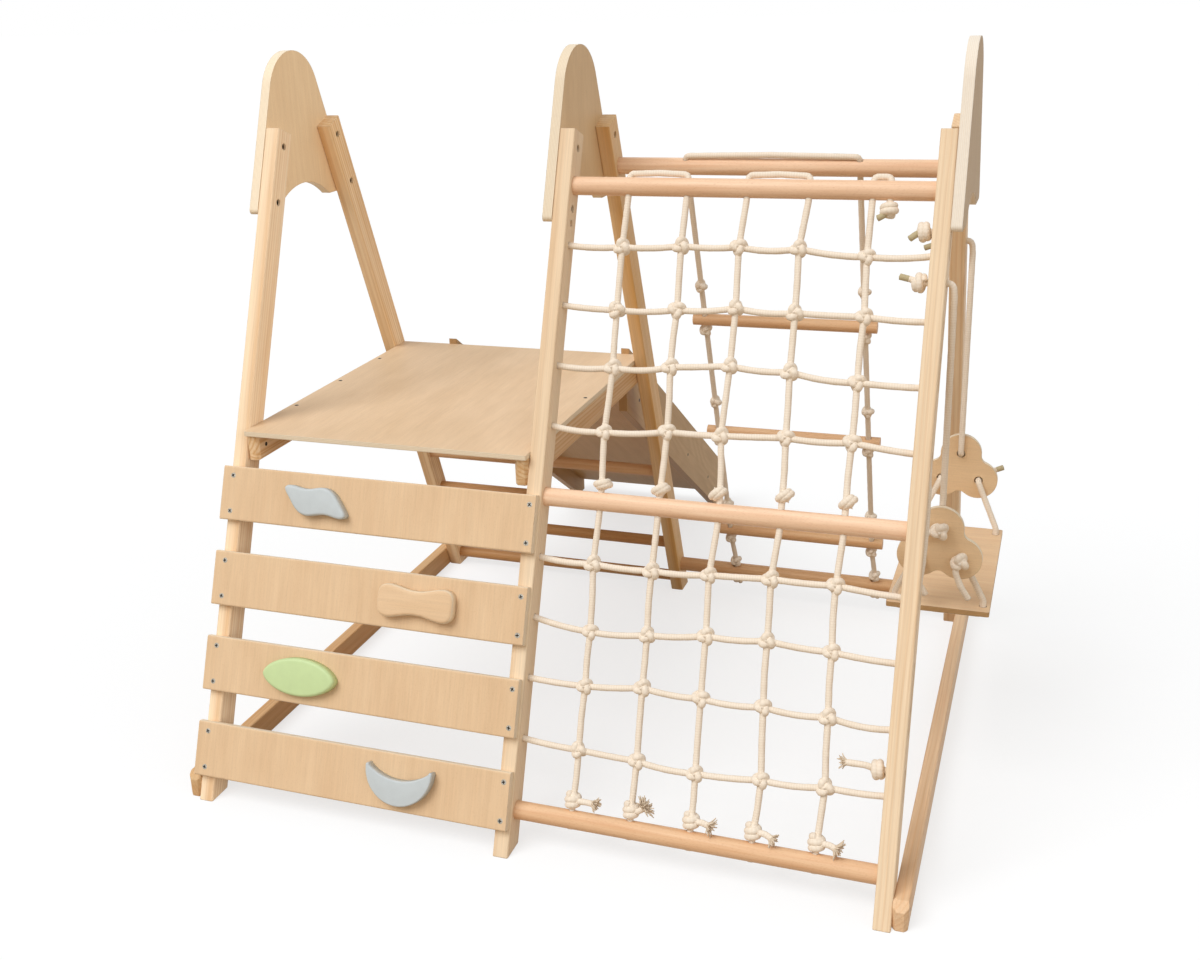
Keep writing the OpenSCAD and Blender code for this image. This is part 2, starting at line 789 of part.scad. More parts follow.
module climbing_net() {
    over_s = bar_s[2] + bar_r + rope_r + loop_gap;
    under_s = bar_s[2] - bar_r - knot_d / 2 - loop_gap;
    mid_s = bar_s[1] + bar_r + knot_d / 2 + loop_gap;
    foot_s = bar_s[0] + bar_r + knot_d / 2 + loop_gap;
    end_s = bar_s[0] - bar_r;
    color(rope_tone) placed() on_slope(-1) {
        // Upright ropes: two pairs over the top bar, and one tied off beneath it
        for (i = [0, 2]) rope([[net_x(i), 0, end_s], [net_x(i), 0, over_s],
            [net_x(i + 1), 0, over_s], [net_x(i + 1), 0, end_s]]);
        rope([[net_x(net_cols - 1), 0, end_s], [net_x(net_cols - 1), 0, over_s], [top_tail_x, 0, over_s],
            [top_tail_x, 0, under_s], [top_tail_x - net_tail / 2, 0, under_s - net_tail]], [3]);
        ball([top_tail_x, 0, under_s], knot_d);
        // Cross rope, to and fro
        for (s = row_s) rope([[loop_left_x, 0, s], [loop_right_x, 0, s]]);
        for (k = left_loops) net_loop(loop_left_x, row_s[k], row_s[k + 1]);
        for (k = right_loops) net_loop(loop_right_x, row_s[k], row_s[k + 1]);
        net_end(start_s, row_s[0], net_tail);
        net_end(finish_s, row_s[row_count - 1], end_tail);
        // Knots, and the uprights' free ends
        for (i = [0:net_cols - 1]) {
            for (s = row_s) ball([net_x(i), 0, s], net_knot_d);
            ball([net_x(i), 0, mid_s], knot_d);
            ball([net_x(i), 0, foot_s], knot_d);
            rod([net_x(i), 0, foot_s], [net_x(i) + foot_tail, 0, foot_s], rope_d);
        }
    }
}

// A loop of the cross rope along a leg's side
module net_loop(x, s0, s1) {
    rod([x, 0, s0], [x, 0, s1], rope_d);
    ball([x, 0, s0], rope_d + bend_extra);
    ball([x, 0, s1], rope_d + bend_extra);
}

// An end of the cross rope: back through the right leg to a knot on its inner face
module net_end(s0, s1, tail) {
    knot_x = right_x - leg_half - knot_d / 2 - loop_gap;
    net_loop(loop_right_x, s0, s1);
    rod([loop_right_x, 0, s0], [knot_x + knot_short, 0, s0], rope_d);
    ball([knot_x, 0, s0], knot_d);
    rod([knot_x - knot_short, 0, s0], [knot_x - tail, 0, s0], rope_d);
}

// Rope ladder: one rope over the rear top bar and down to the bar near the floor

module ladder_rope() {
    over_s = ladder_top_s + bar_r + rope_r + loop_gap;
    color(rope_tone) placed() on_slope(1) {
        rope([[ladder_x[0], 0, ladder_bar_s - bar_r], [ladder_x[0], 0, over_s],
            [ladder_x[1], 0, over_s], [ladder_x[1], 0, ladder_bar_s - bar_r]]);
        for (x = ladder_x) {
            for (k = [0:rung_count - 1]) {
                ball([x, 0, rung_s(k) - rung_d / 2 - knot_d / 2 - loop_gap], knot_d);
                ball([x, 0, rung_s(k) + ladder_knot_up], knot_d);
            }
            ball([x, 0, ladder_bar_s + bar_r + knot_d / 2 + loop_gap], knot_d);
        }
    }
}

module ladder_rung(k) {
    color(beech) placed() on_slope(1) translate([0, 0, rung_s(k)]) difference() {
        translate([ladder_mid - rung_len / 2, 0, 0]) rotate([0, 90, 0]) cylinder(h = rung_len, d = rung_d);
        for (x = ladder_x) translate([x, 0, -rung_d])
            cylinder(h = 2 * rung_d, d = rope_d + 2 * hole_clear);
    }
}

module ladder_rung_1() { ladder_rung(0); }
module ladder_rung_2() { ladder_rung(1); }
module ladder_rung_3() { ladder_rung(2); }

// Swing

// The rope's fixed end: a knot inside the leg, through it and down its outer face to the pivot
module swing_anchor(side) {
    knot_x = right_x - leg_half - knot_d / 2 - loop_gap;
    color(rope_tone) placed() facing(side) translate([0, -swing_y, 0]) {
        rope([[knot_x - net_tail, 0, swing_hole_z], [swing_x, 0, swing_hole_z],
            [swing_x, 0, swing_pivot_z + rope_r + swing_gap]]);
        ball([knot_x, 0, swing_hole_z], knot_d);
    }
}

module swing_anchor_front() { swing_anchor(-1); }
module swing_anchor_rear() { swing_anchor(1); }

// The hanging rope, from the pivot to a knot behind the spreader's upper hole
swing_knot_y = -spreader_y - spreader_t - knot_d / 2 - loop_gap;
module swing_rope(side) {
    color(rope_tone) placed() facing(side) translate([swing_x, 0, 0]) {
        ball([0, -swing_y, swing_pivot_z], rope_d);
        rope([[0, -swing_y, swing_pivot_z], [0, -swing_y, spreader_z], [0, swing_knot_y, spreader_z],
            [0, swing_knot_y, spreader_z] + swing_tail[0]], [2]);
        ball([0, swing_knot_y, spreader_z], knot_d);
    }
}

// The sling: from the spreader's lower holes down through the seat's corners and under it
module swing_sling(side) {
    low_z = spreader_z - spreader_hole_drop;
    under_z = seat_z - seat_t - rope_r - loop_gap;
    color(rope_tone) placed() facing(side) translate([swing_x, 0, 0]) {
        rope([for (hand = [-1, 1]) each along([
            [hand * (spreader_hole_x + swing_tail[1][0]), swing_knot_y, low_z + swing_tail[1][2]],
            [hand * spreader_hole_x, swing_knot_y, low_z], [hand * spreader_hole_x, -swing_y, low_z],
            [hand * seat_hole_x, -seat_hole_y, seat_z + rope_d],
            [hand * seat_hole_x, -seat_hole_y, under_z]], hand)], [1, 8]);
        for (hand = [-1, 1]) ball([hand * spreader_hole_x, swing_knot_y, low_z], knot_d);
    }
}

// A list of points, turned end for end on the right hand
function along(points, hand) = hand < 0 ? points : [for (i = [len(points) - 1:-1:0]) points[i]];

module swing_rope_front() { swing_rope(-1); }
module swing_rope_rear() { swing_rope(1); }
module swing_sling_front() { swing_sling(-1); }
module swing_sling_rear() { swing_sling(1); }

// Three-lobed spreader with hollow necks and a rope hole in each lobe
lobe_low = [lobe_low_x, -lobe_low_drop];
neck_side = neck_centre([0, 0], lobe_top_r, lobe_low, lobe_low_r);
neck_under = neck_centre(lobe_low, lobe_low_r, [-lobe_low_x, -lobe_low_drop], lobe_low_r);
// The round that touches two lobes, on the left hand from the first to the second
function neck_centre(a, a_r, b, b_r) =
    let (u = (b - a) / norm(b - a), far = norm(b - a), ra = a_r + lobe_neck_r, rb = b_r + lobe_neck_r,
        run = (ra * ra - rb * rb + far * far) / (2 * far))
    a + run * u + sqrt(ra * ra - run * run) * [-u[1], u[0]];
function bearing(from, to) = atan2(to[1] - from[1], to[0] - from[0]);
function bow(c, r, a0, a1, steps) =
    [for (k = [1:steps]) c + r * [cos(a0 + (a1 - a0) * k / steps), sin(a0 + (a1 - a0) * k / steps)]];
turn_top = bearing([0, 0], neck_side);
turn_low = bearing(lobe_low, neck_side);
turn_under = bearing(lobe_low, neck_under);
spreader_half = concat(
    bow([0, 0], lobe_top_r, 90, turn_top, lobe_steps / 2),
    bow(neck_side, lobe_neck_r, turn_top + 180, turn_low + 180, neck_steps),
    bow(lobe_low, lobe_low_r, turn_low, turn_under, lobe_steps),
    bow(neck_under, lobe_neck_r, turn_under + 180, 90, neck_steps));
module spreader_outline() {
    right = [for (k = [0:len(spreader_half) - 2]) spreader_half[k]];
    foot = spreader_half[len(spreader_half) - 1];
    difference() {
        polygon(concat([[0, lobe_top_r]], right, [foot], mirrored(right)));
        circle(d = spreader_bore_d);
        for (hand = [-1, 1]) translate([hand * spreader_hole_x, -spreader_hole_drop])
            circle(d = spreader_bore_d);
    }
}

module swing_spreader(side) {
    color(ply) placed() facing(side) translate([swing_x, -spreader_y, spreader_z])
        rotate([90, 0, 0]) linear_extrude(spreader_t) spreader_outline();
}

module swing_spreader_front() { swing_spreader(-1); }
module swing_spreader_rear() { swing_spreader(1); }

module swing_seat() {
    color(ply) placed() translate([swing_x, 0, seat_z - seat_t]) linear_extrude(seat_t) difference() {
        eased(seat_w, seat_len, seat_corner_r);
        for (x = [-1, 1], y = [-1, 1]) translate([x * seat_hole_x, y * seat_hole_y])
            circle(d = rope_d + 2 * hole_clear);
    }
}

// Slide

// Side wall in the plane of Y and Z: a lug under the deck, a straight run and a round nose
module slide_wall_outline() {
    low_y = slide_start + (deck_top + slide_lip - slide_rise) / slide_tan;
    lug_y = slide_start - lug_reach;
    nose_y = slide_end - slide_nose_r;
    nose_z = slide_top_z(nose_y) - slide_nose_r / slide_cos;
    nose = [for (k = [0:nose_steps]) let (a = slide_slope + (90 - slide_slope) * k / nose_steps)
        [nose_y, nose_z] + slide_nose_r * [sin(a), cos(a)]];
    polygon(concat(
        [[lug_y, deck_z], [slide_start, deck_z], [slide_start, slide_top_z(slide_start)]], nose,
        [[slide_end, 0], [low_y, 0], [lug_y, slide_top_z(lug_y) - slide_rise]]
    ));
}

module slide_wall(x0) {
    color(ply) placed() difference() {
        translate([x0, 0, 0]) rotate([90, 0, 90]) linear_extrude(slide_wall_t) slide_wall_outline();
        slide_screw_places(slide_x0, -1) screw_hole(slide_screw_len);
        slide_screw_places(slide_x1, 1) screw_hole(slide_screw_len);
    }
}

module slide_wall_left() { slide_wall(slide_x0); }
module slide_wall_right() { slide_wall(slide_x1 - slide_wall_t); }

// The bed runs between the walls to just short of their lower ends.
module slide_bed() {
    bed_len = (slide_end - slide_start + slide_bed_drop * slide_sin) / slide_cos;
    color(ply) placed() difference() {
        on_slide_bed() translate([slide_x0 + slide_wall_t, slide_bed_in, -slide_bed_t / 2])
            cube([slide_w - 2 * slide_wall_t, bed_len - slide_bed_in - slide_bed_t, slide_bed_t]);
        slide_screw_places(slide_x0, -1) screw_hole(slide_screw_len);
        slide_screw_places(slide_x1, 1) screw_hole(slide_screw_len);
    }
}

module slide_screws() {
    color(steel) placed() {
        slide_screw_places(slide_x0, -1) screw(slide_screw_len);
        slide_screw_places(slide_x1, 1) screw(slide_screw_len);
    }
}

leg_left_front();
leg_left_rear();
leg_middle_front();
leg_middle_rear();
leg_right_front();
leg_right_rear();
cap_left();
cap_middle();
cap_right();
cap_screws();
floor_rail_left();
floor_rail_right();
deck_rail_left();
deck_rail_right();
rail_screws();
deck_panel();
deck_screws();
climbing_board_1();
climbing_board_2();
climbing_board_3();
climbing_board_4();
board_screws();
hold_wave();
hold_bone();
hold_leaf();
hold_moon();
hold_screws();
rear_bar_1();
rear_bar_2();
rear_bar_3();
rear_bar_4();
bar_top_front();
bar_top_rear();
bar_middle();
bar_bottom();
bar_ladder();
climbing_net();
ladder_rope();
ladder_rung_1();
ladder_rung_2();
ladder_rung_3();
swing_anchor_front();
swing_anchor_rear();
swing_rope_front();
swing_rope_rear();
swing_sling_front();
swing_sling_rear();
swing_spreader_front();
swing_spreader_rear();
swing_seat();
slide_wall_left();
slide_wall_right();
slide_bed();
slide_screws();
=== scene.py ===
"""Looks of the wooden climbing frame: materials, ropes with their knots, round-edged holds and screw
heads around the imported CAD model, with the photograph's camera and a plain studio."""

import random
from math import atan2, ceil, copysign, cos, pi, radians, remainder, sin, sqrt, tan, tau

import bmesh
import bpy
import numpy as np
from mathutils import Matrix, Vector


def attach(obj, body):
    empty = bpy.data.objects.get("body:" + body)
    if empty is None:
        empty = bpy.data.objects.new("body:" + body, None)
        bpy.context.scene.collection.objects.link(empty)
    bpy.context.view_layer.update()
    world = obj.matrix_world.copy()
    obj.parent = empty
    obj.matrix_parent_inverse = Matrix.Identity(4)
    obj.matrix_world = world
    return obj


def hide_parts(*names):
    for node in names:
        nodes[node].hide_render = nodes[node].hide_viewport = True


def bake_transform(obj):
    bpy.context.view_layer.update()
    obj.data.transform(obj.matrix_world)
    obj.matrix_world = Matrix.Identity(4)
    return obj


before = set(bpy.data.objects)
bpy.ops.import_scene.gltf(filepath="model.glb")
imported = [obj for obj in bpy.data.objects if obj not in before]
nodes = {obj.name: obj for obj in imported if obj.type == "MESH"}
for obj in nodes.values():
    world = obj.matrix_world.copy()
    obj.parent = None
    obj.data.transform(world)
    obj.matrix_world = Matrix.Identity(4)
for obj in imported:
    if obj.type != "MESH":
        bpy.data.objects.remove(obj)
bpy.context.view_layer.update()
rng = random.Random(11)

# Sizes of the CAD model in millimetres, before it is centred over its floor box

MM = 0.001
SHIFT = (-62.0, -267.525)
LEAN = radians(21.8)
COS, SIN = cos(LEAN), sin(LEAN)
FRONT, REAR = -1, 1
LEG_HALF, LEG_D, FOOT_HALF = 14, 48, 583
MID_Y = FOOT_HALF - LEG_D / COS / 2
LEFT_X, RIGHT_X = -591, 642
BAR_R, RUNG_R, KNOT_R, ROPE_D = 16, 12, 14, 11
ROPE_R = ROPE_D / 2
GAP = 0.6
BAR_LOW, BAR_MID, BAR_TOP = (z / COS for z in (65, 568, 1073))
NET_EDGE, NET_RISE, NET_PITCH, NET_MID_X = 114, 9, 103.5, 321
LADDER_X, LADDER_BAR = (146, 468), 72 / COS
RUNG_S = (210, 507, 804)
LADDER_KNOT_UP = 82
SWING_X, SWING_HOLE_Z, PIVOT_Z, SPREADER_Z = 668, 936, 846, 524
SWING_Y = MID_Y - SWING_HOLE_Z * SIN / COS
SPREADER_T, SPREADER_HOLE_X, SPREADER_HOLE_DROP = 10, 35, 52
SEAT_Z, SEAT_T, SEAT_HOLE_X, SEAT_HOLE_Y = 375, 9, 74, 164
BOARD_T, BOARD_FIRST, BOARD_PITCH, HOLD_T = 15, 88.5, 158, 18


def row(x, y, z):
    """A point in the row frame, in metres."""
    return Vector(((x + SHIFT[0]) * MM, (y + SHIFT[1]) * MM, z * MM))


def slope(side, x, s, out=0.0):
    """A point on the middle plane of the front or rear legs: s up the slope, out to the outside."""
    return row(x, side * (MID_Y + out * COS - s * SIN), s * COS + out * SIN)


def new_object(name, data):
    obj = bpy.data.objects.new(name, data)
    bpy.context.scene.collection.objects.link(obj)
    return obj


# Camera, fitted to the photograph

PICTURE_W, PICTURE_H = 1200, 960
FOCAL_PX = 1365.87
CENTRE_PX = (569.247, 445.919)
CAMERA_AT = (838, -2383, 1421)
YAW, PITCH, ROLL = -0.36182, 0.33187, -0.03967


def make_camera():
    ahead = Vector((sin(YAW) * cos(PITCH), cos(YAW) * cos(PITCH), -sin(PITCH)))
    level = Vector((cos(YAW), -sin(YAW), 0))
    over = level.cross(ahead)
    right = cos(ROLL) * level + sin(ROLL) * over
    up = -sin(ROLL) * level + cos(ROLL) * over
    data = bpy.data.cameras.new("camera")
    data.sensor_fit = "HORIZONTAL"
    data.lens = FOCAL_PX * data.sensor_width / PICTURE_W
    data.shift_x = 0.5 - CENTRE_PX[0] / PICTURE_W
    data.shift_y = (CENTRE_PX[1] - PICTURE_H / 2) / PICTURE_W
    camera = new_object("camera", data)
    turn = Matrix((right, up, -ahead)).transposed()
    camera.matrix_world = Matrix.Translation(row(*CAMERA_AT)) @ turn.to_4x4()
    bpy.context.scene.camera = camera


# Materials


class Graph:
    """The node tree of a material or world, with short calls for the nodes that are used here."""

    def __init__(self, name, store=bpy.data.materials):
        self.owner = store.new(name)
        self.owner.use_nodes = True
        self.tree = self.owner.node_tree
        self.shader = self.tree.nodes.get("Principled BSDF")
        self.soft = None

    def add(self, kind, **settings):
        node = self.tree.nodes.new("ShaderNode" + kind)
        for key, value in settings.items():
            setattr(node, key, value)
        return node

    def put(self, socket, value):
        """Links an output to the socket, or sets its value."""
        if isinstance(value, bpy.types.NodeSocket):
            self.tree.links.new(value, socket)
        elif isinstance(value, (tuple, list, Vector)) and socket.type == "RGBA":
            socket.default_value = (*value, 1)
        else:
            socket.default_value = value

    def math(self, operation, a, b=0.0, kind="Math"):
        node = self.add(kind, operation=operation)
        self.put(node.inputs[0], a)
        self.put(node.inputs[1], b)
        return node.outputs["Value"]

    def plus(self, a, b):
        return self.math("ADD", a, b)

    def times(self, a, b):
        return self.math("MULTIPLY", a, b)

    def dot(self, a, b):
        return self.math("DOT_PRODUCT", a, b, "VectorMath")

    def point(self, *values):
        node = self.add("CombineXYZ")
        for socket, value in zip(node.inputs, values):
            self.put(socket, value)
        return node.outputs[0]

    def where(self):
        return self.add("TexCoord").outputs["Object"]

    def noise(self, vector, detail=2.0, roughness=0.5, scale=1.0):
        node = self.add("TexNoise")
        self.put(node.inputs["Vector"], vector)
        for key, value in (("Scale", scale), ("Detail", detail), ("Roughness", roughness)):
            node.inputs[key].default_value = value
        return node.outputs["Fac"]

    def speckle(self, scale):
        return self.noise(self.where(), 3.0, 0.6, scale)

    def ramp(self, value, *stops):
        """Values from 0 to 1 at given places, joined by straight lines."""
        node = self.add("ValToRGB")
        self.put(node.inputs[0], value)
        ramp = node.color_ramp
        while len(ramp.elements) < len(stops):
            ramp.elements.new(1.0)
        for element, (place, level) in zip(ramp.elements, stops):
            element.position = place
            element.color = (level, level, level, 1)
        return node.outputs["Color"]

    def mix(self, share, a, b, blend="MIX"):
        node = self.add("Mix", data_type="RGBA", blend_type=blend)
        self.put(node.inputs["Factor"], share)
        self.put(node.inputs["A"], a)
        self.put(node.inputs["B"], b)
        return node.outputs["Result"]

    def eased(self, radius):
        """Softens the sharp edges as sandpaper does, and gives a mask of them."""
        node = self.add("Bevel", samples=4)
        node.inputs["Radius"].default_value = radius
        self.soft = node.outputs["Normal"]
        turned = self.dot(self.soft, self.add("NewGeometry").outputs["Normal"])
        return self.ramp(turned, (0.76, 1.0), (0.98, 0.0))

    def bump(self, height, depth):
        node = self.add("Bump")
        if self.soft:
            self.put(node.inputs["Normal"], self.soft)
        node.inputs["Distance"].default_value = depth
        self.put(node.inputs["Height"], height)
        self.put(self.shader.inputs["Normal"], node.outputs[0])

    def finish(self, colour, roughness, gloss=0.5):
        self.shader.inputs["Specular IOR Level"].default_value = gloss
        self.put(self.shader.inputs["Base Color"], colour)
        self.put(self.shader.inputs["Roughness"], roughness)
        return self.owner


def linear(r, g, b):
    """A colour given in the 0 to 255 levels of a picture."""
    return tuple(v / 255 / 12.92 if v <= 10 else ((v / 255 + 0.055) / 1.055) ** 2.4 for v in (r, g, b))


# Tones of wood, rope and wax, in the levels of a picture
PINE_PALE, PINE_LATE, PINE_BAND = (254, 234, 204), (208, 154, 98), (214, 162, 102)
PINE_WEAR_AND_HIGHLIGHT, PINE_HEART, PINK_HEART = (250, 230, 200), (244, 204, 156), (242, 190, 142)
BEECH_PALE, BEECH_PINK, BEECH_STREAK = (252, 224, 196), (243, 203, 167), (222, 170, 128)
BEECH_FLECK, BIRCH_FLECK = (188, 130, 92), (176, 130, 86)
COTTON_PALE, COTTON_WARM = (252, 242, 228), (243, 228, 208)
COTTON_GROOVE_SHADE, COTTON_NAP = (208, 186, 158), (224, 205, 180)
WAX, YARN_PALE, YARN_DEEP = (178, 164, 122), (232, 216, 194), (206, 188, 164)
# In metres: a sanded edge, a layer of plywood, the strip of a log that repeats and a braid's pitch
EASED_R, PLY_LAYER, LOG_STRIP, BRAID_PITCH = 0.0022, 0.0028, 0.3, 0.0088
RINGS_PER_M, BRAID_STRANDS = 42, 8
# Marks that U is raised by, for waxed rope and for loose yarn
WAXED, LOOSE = 2, 4
# How much more each next channel is darkened by a wood's painted shade, so that a piece painted as sitting
# in shadow turns browner too
SHADE_POWERS = (1.0, 1.6, 2.8)


def grain_places(g, along, across, seed):
    """Coordinates along the grain and across it, in metres, moved to a place of the piece's own."""
    where = g.where()
    axes = (along, across, along.cross(across))
    return [g.plus(g.dot(where, axis), 3.7 * seed + 1.3 * k) for k, axis in enumerate(axes)]


def scaled(g, places, along, across):
    return g.point(*(g.times(p, f) for p, f in zip(places, (along, across, across))))


def grain(g, places, along, across, detail=2.0, roughness=0.5):
    """Noise drawn out along the grain, with so many changes to the metre along and across."""
    return g.noise(scaled(g, places, along, across), detail, roughness)


def shaded(colour, shade):
    """Painted shade: the wood's colour made darker, and browner with it, for a piece that sits in shadow.
    """
    return tuple(c * shade**k for c, k in zip(linear(*colour), SHADE_POWERS))


def pine(name, along, across, seed, contrast, warmth, shade, heart):
    """Planed pine: growth rings cut lengthways, fine streaks and slow changes of tone."""
    g = Graph(name)
    places = grain_places(g, along, across, seed)
    local = random.Random(seed * 100)
    pith = (0.02 + 0.05 * local.random(), 0.03 + 0.06 * local.random())
    drift = g.times(g.plus(grain(g, places, 2.2, 14), -0.5), 0.022)
    where = g.where()
    wide = g.plus(g.math("MODULO", g.dot(where, across), LOG_STRIP), g.plus(drift, pith[0]))
    deep = g.plus(g.math("MODULO", g.dot(where, along.cross(across)), LOG_STRIP), pith[1])
    rings = g.add("TexWave", wave_type="RINGS", rings_direction="Z", wave_profile="SAW")
    rings.inputs["Scale"].default_value = RINGS_PER_M
    g.put(rings.inputs["Vector"], g.point(wide, deep, 0.0))
    late = g.ramp(rings.outputs["Fac"], (0.0, 0.25), (0.45, 0.05), (0.86, 1.0), (1.0, 0.3))
    streak = grain(g, places, 7, 420, 3.0, 0.6)
    slow = grain(g, places, 3.0, 22)
    band = grain(g, places, 1.1, 75, 2.0, 0.55)
    patchy = g.times(late, g.ramp(slow, (0.3, 0.45), (0.65, 1.0)))
    pale, dark = shaded(PINE_PALE, shade), shaded(PINE_LATE, shade)
    colour = g.mix(g.times(patchy, 0.8 * contrast), pale, dark)
    colour = g.mix(g.times(slow, 0.4 + 0.5 * warmth), colour, shaded(heart, shade))
    colour = g.mix(g.ramp(band, (0.46, 0.0), (0.64, 0.34 * contrast)), colour, shaded(PINE_BAND, shade))
    colour = g.mix(0.5, colour, g.ramp(streak, (0.25, 0.68), (0.75, 1.0)), "MULTIPLY")
    # Paler along the sanded edges: partly wear, partly a painted highlight where the rounded edges catch
    # the light.
    colour = g.mix(g.times(g.eased(EASED_R), 0.3), colour, shaded(PINE_WEAR_AND_HIGHLIGHT, shade))
    g.bump(g.plus(streak, g.times(late, 0.5)), 0.0003)
    return g.finish(colour, 0.52, 0.2)


def flecks(g, places, length, width, share):
    """Short dark dashes along the grain, as a mask."""
    cells = g.add("TexVoronoi", feature="F1")
    cells.inputs["Scale"].default_value = 1.0
    g.put(cells.inputs["Vector"], scaled(g, places, 1 / length, 1 / width))
    return g.ramp(cells.outputs["Distance"], (share, 1.0), (share + 0.16, 0.0))


def beech(name, along, across, seed, shade):
    """Turned beech: pink and even, with fine flecks along the grain."""
    g = Graph(name)
    places = grain_places(g, along, across, seed)
    streak = grain(g, places, 4, 130, 3.0, 0.6)
    slow = grain(g, places, 2.5, 30)
    dashes = flecks(g, places, 0.009, 0.0011, 0.14)
    colour = g.mix(slow, shaded(BEECH_PALE, shade), shaded(BEECH_PINK, shade))
    colour = g.mix(g.ramp(streak, (0.35, 0.0), (0.7, 0.6)), colour, shaded(BEECH_STREAK, shade))
    colour = g.mix(g.times(dashes, 0.3), colour, shaded(BEECH_FLECK, shade))
    g.bump(streak, 0.0002)
    return g.finish(colour, 0.46, 0.25)


def plywood(name, along, normal, seed, figure, bands, tones, edges):
    """Birch plywood: a rotary-cut face with a slow figure, and its layers on the edges."""
    g = Graph(name)
    places = grain_places(g, along, normal.cross(along), seed)
    hills = grain(g, places, 1.7, 6.5, 1.5, 0.45)
    contour = g.plus(g.times(g.math("SINE", g.times(hills, 95.0)), 0.5), 0.5)
    cloud = grain(g, places, 5, 16, 3.0, 0.6)
    streak = grain(g, places, 14, 330, 3.0, 0.65)
    band = grain(g, places, 3, 75, 2.0, 0.5)
    dashes = flecks(g, places, 0.007, 0.001, 0.11)
    pale, deep = (linear(*tone) for tone in tones)
    colour = g.mix(g.times(contour, figure), pale, deep)
    colour = g.mix(g.ramp(cloud, (0.35, 0.0), (0.75, 0.5)), colour, deep)
    colour = g.mix(g.ramp(band, (0.4, 0.0), (0.7, bands)), colour, deep)
    colour = g.mix(0.5, colour, g.ramp(streak, (0.25, 0.8), (0.75, 1.0)), "MULTIPLY")
    colour = g.mix(g.times(dashes, 0.26), colour, linear(*BIRCH_FLECK))
    where = g.add("TexCoord")
    layer = g.math("FRACT", g.times(g.dot(where.outputs["Object"], normal), 1 / PLY_LAYER))
    layers = g.ramp(layer, (0.42, 0.0), (0.5, 1.0), (0.92, 1.0), (1.0, 0.0))
    edge = g.mix(g.times(layers, 0.35), *(linear(*tone) for tone in edges))
    edge = g.mix(0.5, edge, g.ramp(streak, (0.25, 0.84), (0.75, 1.0)), "MULTIPLY")
    facing = g.math("ABSOLUTE", g.dot(where.outputs["Normal"], normal))
    colour = g.mix(g.times(g.eased(EASED_R), 0.3), colour, edge)
    colour = g.mix(g.ramp(facing, (0.55, 1.0), (0.8, 0.0)), colour, edge)
    g.bump(streak, 0.00015)
    return g.finish(colour, 0.5, 0.2)


def cotton():
    """Braided cotton rope with a soft nap, waxed ends and loose yarns."""
    g = Graph("cotton_rope")
    uv = g.add("SeparateXYZ")
    g.put(uv.inputs[0], g.add("TexCoord").outputs["UV"])
    turn, run = uv.outputs["X"], uv.outputs["Y"]
    bound, loose = (g.math("GREATER_THAN", turn, mark - 0.5) for mark in (WAXED, LOOSE))
    braided = g.math("SUBTRACT", 1.0, bound)
    waves = []
    for hand in (1, -1):
        phase = g.plus(g.times(turn, BRAID_STRANDS), g.times(run, hand / BRAID_PITCH))
        waves.append(g.math("SINE", g.times(phase, tau)))
    braid = g.plus(g.times(g.times(*waves), 0.5), 0.5)
    slow, nap = g.speckle(38), g.speckle(900)
    # Painted shade: the braid's grooves are coloured darker, as shade falls between its strands.
    groove_shade = g.times(g.ramp(braid, (0.05, 0.3), (0.5, 0.0)), braided)
    colour = g.mix(slow, linear(*COTTON_PALE), linear(*COTTON_WARM))
    colour = g.mix(groove_shade, colour, linear(*COTTON_GROOVE_SHADE))
    colour = g.mix(g.times(nap, 0.16), colour, linear(*COTTON_NAP))
    colour = g.mix(g.times(bound, 0.85), colour, linear(*WAX))
    colour = g.mix(loose, colour, g.mix(nap, linear(*YARN_PALE), linear(*YARN_DEEP)))
    g.bump(g.plus(g.times(braid, braided), g.times(nap, 0.4)), 0.0003)
    g.shader.inputs["Sheen Weight"].default_value = 0.2
    g.shader.inputs["Sheen Roughness"].default_value = 0.5
    return g.finish(colour, 0.85, 0.2)


def paint(name, tone):
    """Matt paint with a faint mottle."""
    g = Graph(name)
    mottle, grit = g.speckle(55), g.speckle(1400)
    pale = tuple(min(1.0, c * 1.05) for c in linear(*tone))
    deep = tuple(c * 0.93 for c in linear(*tone))
    g.bump(grit, 0.00012)
    return g.finish(g.mix(mottle, deep, pale), 0.5)


def plated(name, dull, bright):
    """Plated screw steel, brushed by the driver, with brighter specks that are partly its wear and partly
    painted glints.
    """
    g = Graph(name)
    wear_and_glints = g.speckle(700)
    g.shader.inputs["Metallic"].default_value = 1.0
    return g.finish(g.mix(wear_and_glints, linear(*dull), linear(*bright)), g.ramp(wear_and_glints, (0.2, 0.28), (0.8, 0.5)))


X, Y, Z = Vector((1, 0, 0)), Vector((0, 1, 0)), Vector((0, 0, 1))
UP = {side: Vector((0, -side * SIN, COS)) for side in (FRONT, REAR)}
OUT = {side: Vector((0, side * COS, SIN)) for side in (FRONT, REAR)}
SLIDE = radians(33.6)
DOWN_SLIDE = Vector((0, cos(SLIDE), -sin(SLIDE)))
OFF_SLIDE = Vector((0, sin(SLIDE), cos(SLIDE)))


def dress(node, material):
    obj = nodes[node]
    obj.data.materials.clear()
    obj.data.materials.append(material)


